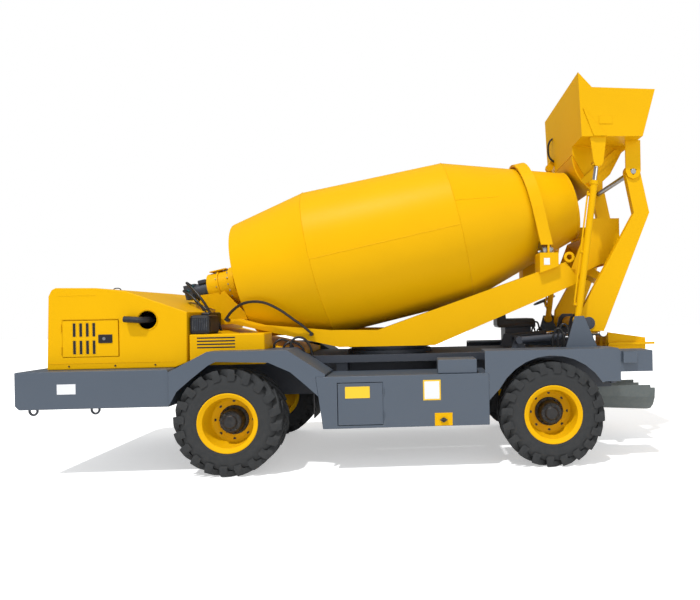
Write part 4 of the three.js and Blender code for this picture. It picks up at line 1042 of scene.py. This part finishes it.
@dataclass
class HoodTrim:
    """Painted shade in the louvres, and the latches, hinges, seams and bolts of the engine hood."""

    columns: tuple[float, ...] = (0.098, 0.163, 0.228, 0.293)
    slot_width: float = 0.041
    slot_rows: tuple[tuple[float, float], ...] = ((1.236, 1.388), (1.414, 1.566))

    def door(self, side: Side) -> None:
        """Trims one hood door.

        Args:
            side: The door's side.
        """
        low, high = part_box(f"hood_door_{side.label}")
        face = high.y if side is Side.LEFT else low.y
        out = side.value
        body = f"hood_door_{side.label}"
        # Black blocks in the louvre openings: painted shade for the dark inside of the hood.
        slots = []
        for column in self.columns:
            for z0, z1 in self.slot_rows:
                x0 = low.x + column
                y0, y1 = sorted((face - out * 0.010, face + out * 0.0012))
                slots.append(block("louvre", (x0, y0, z0), (x0 + self.slot_width, y1, z1)))
        for slot in slots:
            self.round_ends(slot)
        dressed(joined(f"louvres_{side.label}", slots), BLACK, body)
        x0 = high.x - 0.196
        y0, y1 = sorted((face - out * 0.004, face + out * 0.008))
        latch = block(f"door_latch_{side.label}", (x0, y0, 1.352), (x0 + 0.140, y1, 1.440), 0.011)
        dressed(latch, BLACK, body)
        key = rod(f"door_key_{side.label}", (x0 + 0.06, face, 1.398),
                  (x0 + 0.06, face + out * 0.011, 1.398), 0.016, 16)
        dressed(key, STEEL, body)
        inner = low.y if side is Side.LEFT else high.y
        y0, y1 = sorted((inner - out * 0.001, inner - out * 0.004))
        back, front, under, over = low.x - 0.010, high.x + 0.010, low.z - 0.010, high.z + 0.010
        lips = [block("lip", (back, y0, under), (front, y1, low.z + 0.012)),
                block("lip", (back, y0, high.z - 0.012), (front, y1, over)),
                block("lip", (back, y0, under), (low.x + 0.012, y1, over)),
                block("lip", (high.x - 0.012, y0, under), (front, y1, over))]
        dressed(joined(f"door_lips_{side.label}", lips), YELLOW, MACHINE)
        x0, y0 = low.x - 0.009, face + out * 0.004
        hinges = [rod("hinge", (x0, y0, z), (x0, y0, z + 0.075), 0.005, 12) for z in (1.245, 1.475)]
        dressed(joined(f"door_hinges_{side.label}", hinges), YELLOW, MACHINE)

    @staticmethod
    def round_ends(slot: bpy.types.Object) -> None:
        """Rounds the four corners of a black block of painted shade in a louvre.

        Args:
            slot: The black block, painted shade in a louvre opening.
        """
        take(slot)
        editing(True)
        bpy.ops.mesh.select_all(action="DESELECT")
        editing(False)
        for line in slot.data.edges:
            ends = [slot.data.vertices[index].co for index in line.vertices]
            line.select = abs(ends[0].y - ends[1].y) > 0.005
        bpy.ops.object.mode_set(mode="EDIT")
        bpy.ops.mesh.select_mode(type="EDGE")
        bpy.ops.mesh.bevel(offset=0.011, segments=3)
        editing(False)

    def roof(self) -> None:
        """Fits the lifting eye on the roof, and the bolts, seam and swage along each side."""
        low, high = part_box("hood_shell")
        bolts = []
        for side in Side:
            y, z = side.value * (high.y - 0.004), low.z + 0.035
            for x in (low.x + 0.22, low.x + 0.68, low.x + 1.08):
                bolts.append(rod("bolt", (x, y, z), (x, y + side.value * 0.010, z), 0.009, 6))
        dressed(joined("hood_bolts", bolts), BLACK, MACHINE)
        seams = []
        for side in Side:
            y0, y1 = sorted((side.value * (high.y - 0.002), side.value * (high.y + 0.0025)))
            seams.append(block("seam", (low.x + 0.02, y0, low.z + 0.062),
                               (high.x - 0.14, y1, low.z + 0.068)))
            seams.append(block("swage", (low.x + 0.12, y0, high.z - 0.085),
                               (low.x + 0.50, y1, high.z - 0.070), 0.002))
        dressed(joined("hood_seams", seams), YELLOW, MACHINE)
        eye = pipe("hood_eye", [(low.x + 0.19, 0, high.z - 0.005), (low.x + 0.19, 0, high.z + 0.02),
                                (low.x + 0.23, 0, high.z + 0.035), (low.x + 0.27, 0, high.z + 0.02),
                                (low.x + 0.27, 0, high.z - 0.005)], 0.006)
        dressed(eye, BLACK, MACHINE)

    def build(self) -> None:
        """Trims both doors and the roof, and rings the exhaust's hole."""
        for side in Side:
            self.door(side)
        self.roof()
        low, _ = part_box("exhaust_pipe")
        ring = [(0.0, 0.093), (0.006, 0.103), (-0.004, 0.103), (-0.004, 0.093), (0.0, 0.093)]
        hood_low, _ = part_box("hood_shell")
        mouth = axis_frame((REAR_AXLE_X - 0.86, hood_low.y, 1.58), (0, -1, 0))
        dressed(turned("exhaust_hole_ring", ring, 48, mouth), YELLOW, MACHINE)
        LOG.info("hood trimmed; exhaust ends at %.3f", low.y)


@dataclass
class Plates:
    """Blank plates, borders and small fittings on the counterweight and the tanks."""

    thickness: float = 0.003

    def blank(self, name: str, x: Station, z: Station, finish: Finish, body: str = MACHINE,
              lift: float = 0.0) -> None:
        """Rivets one blank plate to the right side of the machine.

        Args:
            name: The plate's name.
            x: Its two ends.
            z: Its bottom and top.
            finish: Its finish.
            body: What carries it.
            lift: How far it stands off, where it lies on another plate.
        """
        low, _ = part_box("counterweight" if x[1] < -2.0 else "side_tank_right")
        face = low.y - lift
        low_corner, high_corner = (x[0], face - self.thickness, z[0]), (x[1], face + 0.0005, z[1])
        dressed(block(name, low_corner, high_corner, 0.0012), finish, body)

    def hooks(self) -> None:
        """Bends the two tie-down hooks under the counterweight."""
        low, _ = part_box("counterweight")
        y, half = low.y + 0.05, 0.035
        for place, x in enumerate((-3.235, -2.635)):
            loop = [(x - half, y, low.z + 0.01), (x - half, y, low.z - 0.03), (x, y, low.z - 0.055),
                    (x + half, y, low.z - 0.03), (x + half, y, low.z + 0.01)]
            dressed(pipe(f"tie_hook_{place}", loop, 0.011), DARK_SLATE, MACHINE)

    def build(self) -> None:
        """Fits the plates, the hooks, the drain valve and the toolbox hinges."""
        self.blank("weight_plate", (-2.975, -2.795), (0.86, 0.96), PLATE_WHITE)
        self.blank("toolbox_plate", (-0.152, 0.095), (0.753, 0.870), PLATE_YELLOW, "toolbox_door")
        self.blank("tank_plate_border", (0.632, 0.810), (0.715, 0.920), PLATE_YELLOW)
        self.blank("tank_plate", (0.646, 0.796), (0.729, 0.906), PLATE_WHITE, lift=0.0026)
        self.blank("drain_plate", (0.745, 0.925), (0.455, 0.585), YELLOW)
        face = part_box("side_tank_right")[0].y
        valve = [rod("valve", (0.835, face, 0.515), (0.835, face - 0.022, 0.515), 0.026, 6),
                 rod("valve", (0.800, face - 0.018, 0.515), (0.872, face - 0.018, 0.515), 0.008, 12)]
        dressed(joined("drain_valve", valve), BLACK, MACHINE)
        x, y = 0.236, face - 0.004
        hinges = [rod("hinge", (x, y, z), (x, y, z + 0.07), 0.005, 12) for z in (0.54, 0.78)]
        dressed(joined("toolbox_hinges", hinges), SLATE, MACHINE)
        self.hooks()


@dataclass
class Lockers:
    """The cooler box and locker beside the pump hood, and the raised box on the tank."""

    back: float = -1.768
    outer: float = -0.900
    # Slots in the locker's side, each a black block of painted shade for the dark inside.
    slots: int = 4

    def build(self) -> None:
        """Builds the boxes with black blocks of painted shade in the slots, the fender's hoses and the
        mudflap.
        """
        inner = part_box("pump_hood")[0].y - 0.004
        locker = block("side_locker", (self.back, self.outer, 1.100), (-1.000, inner, 1.420), 0.012)
        dressed(locker, YELLOW, MACHINE)
        # Black blocks in the slots: painted shade where the openings look dark inside.
        slots = []
        for place in range(self.slots):
            z = 1.275 + place * 0.033
            slots.append(block("slot", (-1.690, self.outer - 0.0015, z),
                               (-1.300, self.outer + 0.006, z + 0.016), 0.003))
        dressed(joined("locker_slots", slots), BLACK, MACHINE)
        cooler = block("cooler_box", (self.back, self.outer + 0.01, 1.421), (-1.560, inner, 1.620), 0.030)
        dressed(cooler, BLACK, MACHINE)
        fins = [block("fin", (self.back + 0.03 + step * 0.018, self.outer + 0.006, 1.460),
                      (self.back + 0.036 + step * 0.018, self.outer + 0.012, 1.585)) for step in range(9)]
        dressed(joined("cooler_fins", fins), DARK_SLATE, MACHINE)
        step_box = block("tank_step_box", (0.785, -1.100, 0.976), (1.185, -0.760, 1.120), 0.010)
        dressed(step_box, SLATE, MACHINE)
        for place, (x, bend) in enumerate(((-0.96, 0.10), (-0.86, 0.07), (-0.78, 0.12))):
            route = [(x, -0.70, 1.21), (x + 0.02, -0.70, 1.21 + bend), (x + 0.10, -0.68, 1.24 + bend),
                     (x + 0.19, -0.66, 1.22 + bend * 0.5), (x + 0.22, -0.64, 1.16)]
            dressed(pipe(f"fender_hose_{place}", route, 0.013), HOSE, MACHINE)
        flap = block("rear_mudflap", (-0.470, -1.100, 0.560), (-0.458, -0.800, 0.860), 0.003)
        dressed(flap, BLACK, MACHINE)


@dataclass
class DriveTrim:
    """Flanges, bolts, guard and hoses of the drum's gearbox and motor."""

    flange_radius: float = 0.198
    bolts: int = 16

    def build(self) -> None:
        """Dresses the drum's drive."""
        place = Drum().matrix()
        rings = []
        for back, front, inner, outer, steps in ((-1.905, -1.885, 0.180, self.flange_radius, 64),
                                                 (-2.040, -2.022, 0.090, 0.140, 48)):
            section = [(back, inner), (back, outer), (front, outer), (front, inner), (back, inner)]
            rings.append(turned("ring", section, steps, place, edge=0.003))
        dressed(joined("gearbox_rings", rings), YELLOW, MACHINE)
        studs = [ringed(rod("bolt", (-1.778, 0, 0.196), (-1.762, 0, 0.196), 0.011, 6), self.bolts),
                 ringed(rod("bolt", (-1.915, 0, 0.188), (-1.904, 0, 0.188), 0.008, 6), 12)]
        dressed(settle(joined("gearbox_bolts", studs), place), STEEL, MACHINE)
        guard = block("motor_guard", (-1.985, -0.095, 0.190), (-1.790, 0.095, 0.206), 0.006)
        dressed(settle(guard, place), YELLOW, MACHINE)
        valve = block("motor_valve", (-2.150, -0.085, 0.085), (-2.050, 0.085, 0.135), 0.012)
        dressed(settle(valve, place), DARK_SLATE, MACHINE)
        routes = (
            [(-2.10, -0.08, 1.90), (-2.09, -0.22, 1.90), (-1.95, -0.34, 1.83), (-1.78, -0.40, 1.64),
             (-1.72, -0.42, 1.44)],
            [(-2.05, -0.08, 1.96), (-2.04, -0.26, 1.99), (-1.86, -0.42, 1.86), (-1.70, -0.47, 1.62),
             (-1.66, -0.48, 1.44)],
            [(-2.02, -0.10, 1.86), (-1.96, -0.20, 1.78), (-1.84, -0.26, 1.70), (-1.70, -0.30, 1.58),
             (-1.64, -0.32, 1.44)],
        )
        for number, route in enumerate(routes):
            dressed(pipe(f"drive_hose_{number}", route, 0.014), HOSE, MACHINE)
        caps = [rod("cap", (-2.10, -0.070, 1.900), (-2.10, -0.110, 1.900), 0.020, 6),
                rod("cap", (-2.05, -0.070, 1.960), (-2.05, -0.110, 1.960), 0.020, 6)]
        dressed(joined("drive_fittings", caps), TEAL, MACHINE)


@dataclass
class LoaderTrim:
    """Ribs, pin caps, pipes and hoses of the arms, the bucket and their cylinders."""

    tilt_base: Point = (2.342, 0.71, 1.488)
    tilt_along: Point = (0.13973, 0.0, 0.99019)
    bucket_pin: Station = (3.015, 3.130)
    arm_pivot: Station = (2.485, 1.450)
    arm_face: float = 0.636

    def bucket(self) -> None:
        """Welds a gusset and a pad to each side of the bucket."""
        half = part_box("loader_bucket")[1].y
        for side in Side:
            y0, y1 = side.value * half, side.value * (half + 0.010)
            gusset = [(2.415, 3.780), (2.530, 3.480), (2.680, 3.480)]
            pad = [(2.590, 3.700), (2.740, 3.700), (2.740, 3.610), (2.590, 3.610)]
            ribs = [plate("rib", gusset, y0, y1, 0.002), plate("rib", pad, y0, (y0 + y1) / 2, 0.002)]
            dressed(joined(f"bucket_ribs_{side.label}", ribs), YELLOW, "bucket")

    def caps(self) -> None:
        """Caps the arms' pins, with three bolts in each cap."""
        for side in Side:
            made = []
            for (x, z), radius in ((self.bucket_pin, 0.052), (self.arm_pivot, 0.070)):
                y0, y1 = side.value * self.arm_face, side.value * (self.arm_face + 0.012)
                made.append(rod("cap", (x, y0, z), (x, y1, z), radius, 40, 0.003))
                for step in range(3):
                    turn = step * math.tau / 3 + 0.5
                    x1 = x + math.cos(turn) * radius * 0.62
                    z1 = z + math.sin(turn) * radius * 0.62
                    made.append(rod("bolt", (x1, y1, z1), (x1, y1 + side.value * 0.007, z1), 0.009, 6))
            dressed(joined(f"arm_pin_caps_{side.label}", made), DARK_SLATE, "lift_arms")

    def pipes(self) -> None:
        """Runs an oil pipe with two clips up the back of each tilt cylinder."""
        along = Vector(self.tilt_along)
        away = Vector((-along.z, 0.0, along.x))
        for side in Side:
            base = Vector((self.tilt_base[0], side.value * self.tilt_base[1], self.tilt_base[2]))
            foot = base + away * 0.058
            made = [rod("pipe", foot + along * 0.16, foot + along * 1.42, 0.010, 16)]
            for at in (0.17, 0.75, 1.38):
                hold = foot + along * at - away * 0.012
                made.append(rod("clip", hold - along * 0.012, hold + along * 0.012, 0.022, 16))
            dressed(joined(f"tilt_pipe_{side.label}", made), YELLOW, "tilt_ram_barrels")

    def hoses(self) -> None:
        """Lays the hoses at the cylinders' feet and behind the gate cylinder."""
        for side in Side:
            for number, (x, rise) in enumerate(((2.06, 0.19), (2.12, 0.24), (2.17, 0.14))):
                route = [(x, side.value * 0.70, 1.190), (x + 0.01, side.value * 0.72, 1.20 + rise * 0.7),
                         (x + 0.06, side.value * 0.74, 1.21 + rise),
                         (x + 0.11, side.value * 0.74, 1.20 + rise * 0.6),
                         (x + 0.12, side.value * 0.73, 1.190)]
                dressed(pipe(f"foot_hose_{side.label}_{number}", route, 0.012), HOSE, MACHINE)
        route = [(2.415, 0.440, 3.520), (2.345, 0.440, 3.580), (2.325, 0.450, 3.690), (2.350, 0.450, 3.800),
                 (2.400, 0.440, 3.840)]
        dressed(pipe("gate_hose", route, 0.013), HOSE, "bucket")

    def beam_fittings(self) -> None:
        """Welds a lifting eye to each drum beam and rivets a blank plate beside the right roller."""
        ring = [(-0.012, 0.030), (-0.012, 0.060), (0.012, 0.060), (0.012, 0.030), (-0.012, 0.030)]
        for side in Side:
            place = axis_frame((2.290, side.value * 0.600, 2.190), (0, 1, 0))
            eye = turned(f"lifting_eye_{side.label}", ring, 40, place, edge=0.003)
            dressed(eye, YELLOW, MACHINE)
        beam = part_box("drum_beam_right")[0].y
        blank = block("roller_plate", (1.995, beam - 0.003, 2.105), (2.060, beam + 0.001, 2.180), 0.001)
        dressed(blank, PLATE_WHITE, MACHINE)

    def build(self) -> None:
        """Builds the loader's trim."""
        self.bucket()
        self.caps()
        self.pipes()
        self.hoses()
        self.beam_fittings()


@dataclass
class Seat:
    """The driver's padded seat, filled by pressure under its cover."""

    frame: dict
    voxel: float = 0.008
    pressure: float = 4.0
    cap: float = 0.014
    fill: float = 0.7

    def inflate(self, piece: bpy.types.Object) -> None:
        """Blows the cover up a little, with its base held.

        Args:
            piece: The remeshed seat.
        """
        before = [corner.co.copy() for corner in piece.data.vertices]
        base = min(corner.z for corner in before) + 0.012
        held = piece.vertex_groups.new(name="base")
        held.add([index for index, corner in enumerate(before) if corner.z < base], 1.0, "REPLACE")
        cloth = piece.modifiers.new("cover", "CLOTH")
        cloth.settings.use_pressure = True
        cloth.settings.uniform_pressure_force = self.pressure
        cloth.settings.effector_weights.gravity = 0.0
        cloth.settings.vertex_group_mass = held.name
        scene = bpy.context.scene
        for step in range(1, 21):
            scene.frame_set(step)
        bpy.ops.object.modifier_apply(modifier=cloth.name)
        scene.frame_set(1)
        for corner, start in zip(piece.data.vertices, before):
            move = corner.co - start
            if move.length > self.cap:
                corner.co = start + move.normalized() * self.cap

    def build(self) -> None:
        """Models the seat."""
        piece = softened(self.frame, "operator_seat", 0.0)
        piece.name = "seat_pad"
        low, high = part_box("operator_seat")
        middle = Vector(((low.x + high.x) / 2, (low.y + high.y) / 2, low.z))
        settle(piece, Matrix.Translation(middle) @ Matrix.Scale(0.965, 4) @ Matrix.Translation(-middle))
        remesh = piece.modifiers.new("weave", "REMESH")
        remesh.mode = "VOXEL"
        remesh.voxel_size = self.voxel
        bpy.ops.object.modifier_apply(modifier=remesh.name)
        relax = piece.modifiers.new("relax", "SMOOTH")
        relax.iterations = 6
        bpy.ops.object.modifier_apply(modifier=relax.name)
        self.inflate(piece)
        finer = piece.modifiers.new("finer", "SUBSURF")
        finer.levels = 1
        bpy.ops.object.modifier_apply(modifier=finer.name)
        dressed(smooth(piece, 70), VINYL, MACHINE, "operator_seat")


@dataclass
class Stage:
    """Floor, lights and camera."""

    camera_at: Point = (0.605, -6.803, 1.600)
    heading: float = 0.0441
    roll: float = 0.0189
    lens: float = 28.9
    sensor: float = 36.0
    shift: tuple[float, float] = (-0.134, 0.0177)
    surround: float = 0.58
    camera_glow: float = 0.42
    glossy_loss: float = 0.33

    def camera(self) -> None:
        """Sets the camera."""
        data = bpy.data.cameras.new("camera")
        data.sensor_width = self.sensor
        data.lens = self.lens
        data.shift_x, data.shift_y = self.shift
        data.clip_end = 200.0
        camera = bpy.data.objects.new("camera", data)
        bpy.context.scene.collection.objects.link(camera)
        forward = Vector((math.sin(self.heading), math.cos(self.heading), 0.0))
        level = forward.cross(Vector((0, 0, 1)))
        right = level * math.cos(self.roll) - Vector((0, 0, 1)) * math.sin(self.roll)
        up = right.cross(forward)
        turn = Matrix((right, up, -forward)).transposed().to_4x4()
        camera.matrix_world = Matrix.Translation(self.camera_at) @ turn
        bpy.context.scene.camera = camera

    @staticmethod
    def seen_white(tree: bpy.types.NodeTree) -> bpy.types.NodeSocket:
        """A factor that is 1 for rays from the camera."""
        return tree.nodes.new("ShaderNodeLightPath").outputs["Is Camera Ray"]

    def floor(self) -> None:
        """Lays a white floor that keeps the machine's shadow."""
        deselect()
        bpy.ops.mesh.primitive_plane_add(size=80.0, location=(0, 0, -0.001))
        plane = settle(bpy.context.active_object)
        plane.name = "floor"
        material = bpy.data.materials.new("floor_white")
        material.use_nodes = True
        tree = material.node_tree
        shader = tree.nodes["Principled BSDF"]
        shader.inputs["Base Color"].default_value = (0.9, 0.9, 0.9, 1.0)
        shader.inputs["Roughness"].default_value = 0.9
        shader.inputs["Emission Color"].default_value = (1, 1, 1, 1)
        glow = maths(tree, "MULTIPLY", self.seen_white(tree), self.camera_glow)
        tree.links.new(glow, shader.inputs["Emission Strength"])
        plane.data.materials.append(material)

    def world(self) -> None:
        """Sets a white surround, dimmer in reflections so that the paint keeps its colour."""
        world = bpy.data.worlds.new("studio")
        bpy.context.scene.world = world
        world.use_nodes = True
        tree = world.node_tree
        background = tree.nodes["Background"]
        background.inputs["Color"].default_value = (1, 1, 1, 1)
        lit = maths(tree, "MULTIPLY", self.seen_white(tree), self.camera_glow)
        glossy = tree.nodes.new("ShaderNodeLightPath").outputs["Is Glossy Ray"]
        base = maths(tree, "SUBTRACT", self.surround, maths(tree, "MULTIPLY", glossy, self.glossy_loss))
        tree.links.new(maths(tree, "ADD", lit, base), background.inputs["Strength"])

    def lights(self) -> None:
        """Hangs a key light over the camera's left and a soft fill."""
        lamps = (("key", 2.6, 2.5, (0.25, 0.45, -1.0)), ("fill", 0.8, 50.0, (-0.4, 1.0, -0.25)))
        for name, energy, angle, aim in lamps:
            data = bpy.data.lights.new(name, "SUN")
            data.energy = energy
            data.angle = math.radians(angle)
            lamp = bpy.data.objects.new(name, data)
            bpy.context.scene.collection.objects.link(lamp)
            lamp.rotation_euler = Vector(aim).to_track_quat("-Z", "Y").to_euler()

    def build(self) -> None:
        """Builds the stage."""
        bpy.context.scene.view_settings.view_transform = "Standard"
        self.camera()
        self.floor()
        self.world()
        self.lights()


def main() -> None:
    """Builds the looks of the mixer truck, sub-assembly by sub-assembly."""
    logging.basicConfig(level=logging.INFO, format="%(message)s")
    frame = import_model()
    deselect()
    for assembly in (PaintedNodes(frame), Wheel(), Drum(), HoodTrim(), Plates(), Lockers(), DriveTrim(),
                     LoaderTrim(), Seat(frame)):
        assembly.build()
        LOG.info("built %s", type(assembly).__name__)
    Stage().build()


if __name__ == "__main__":
    main()
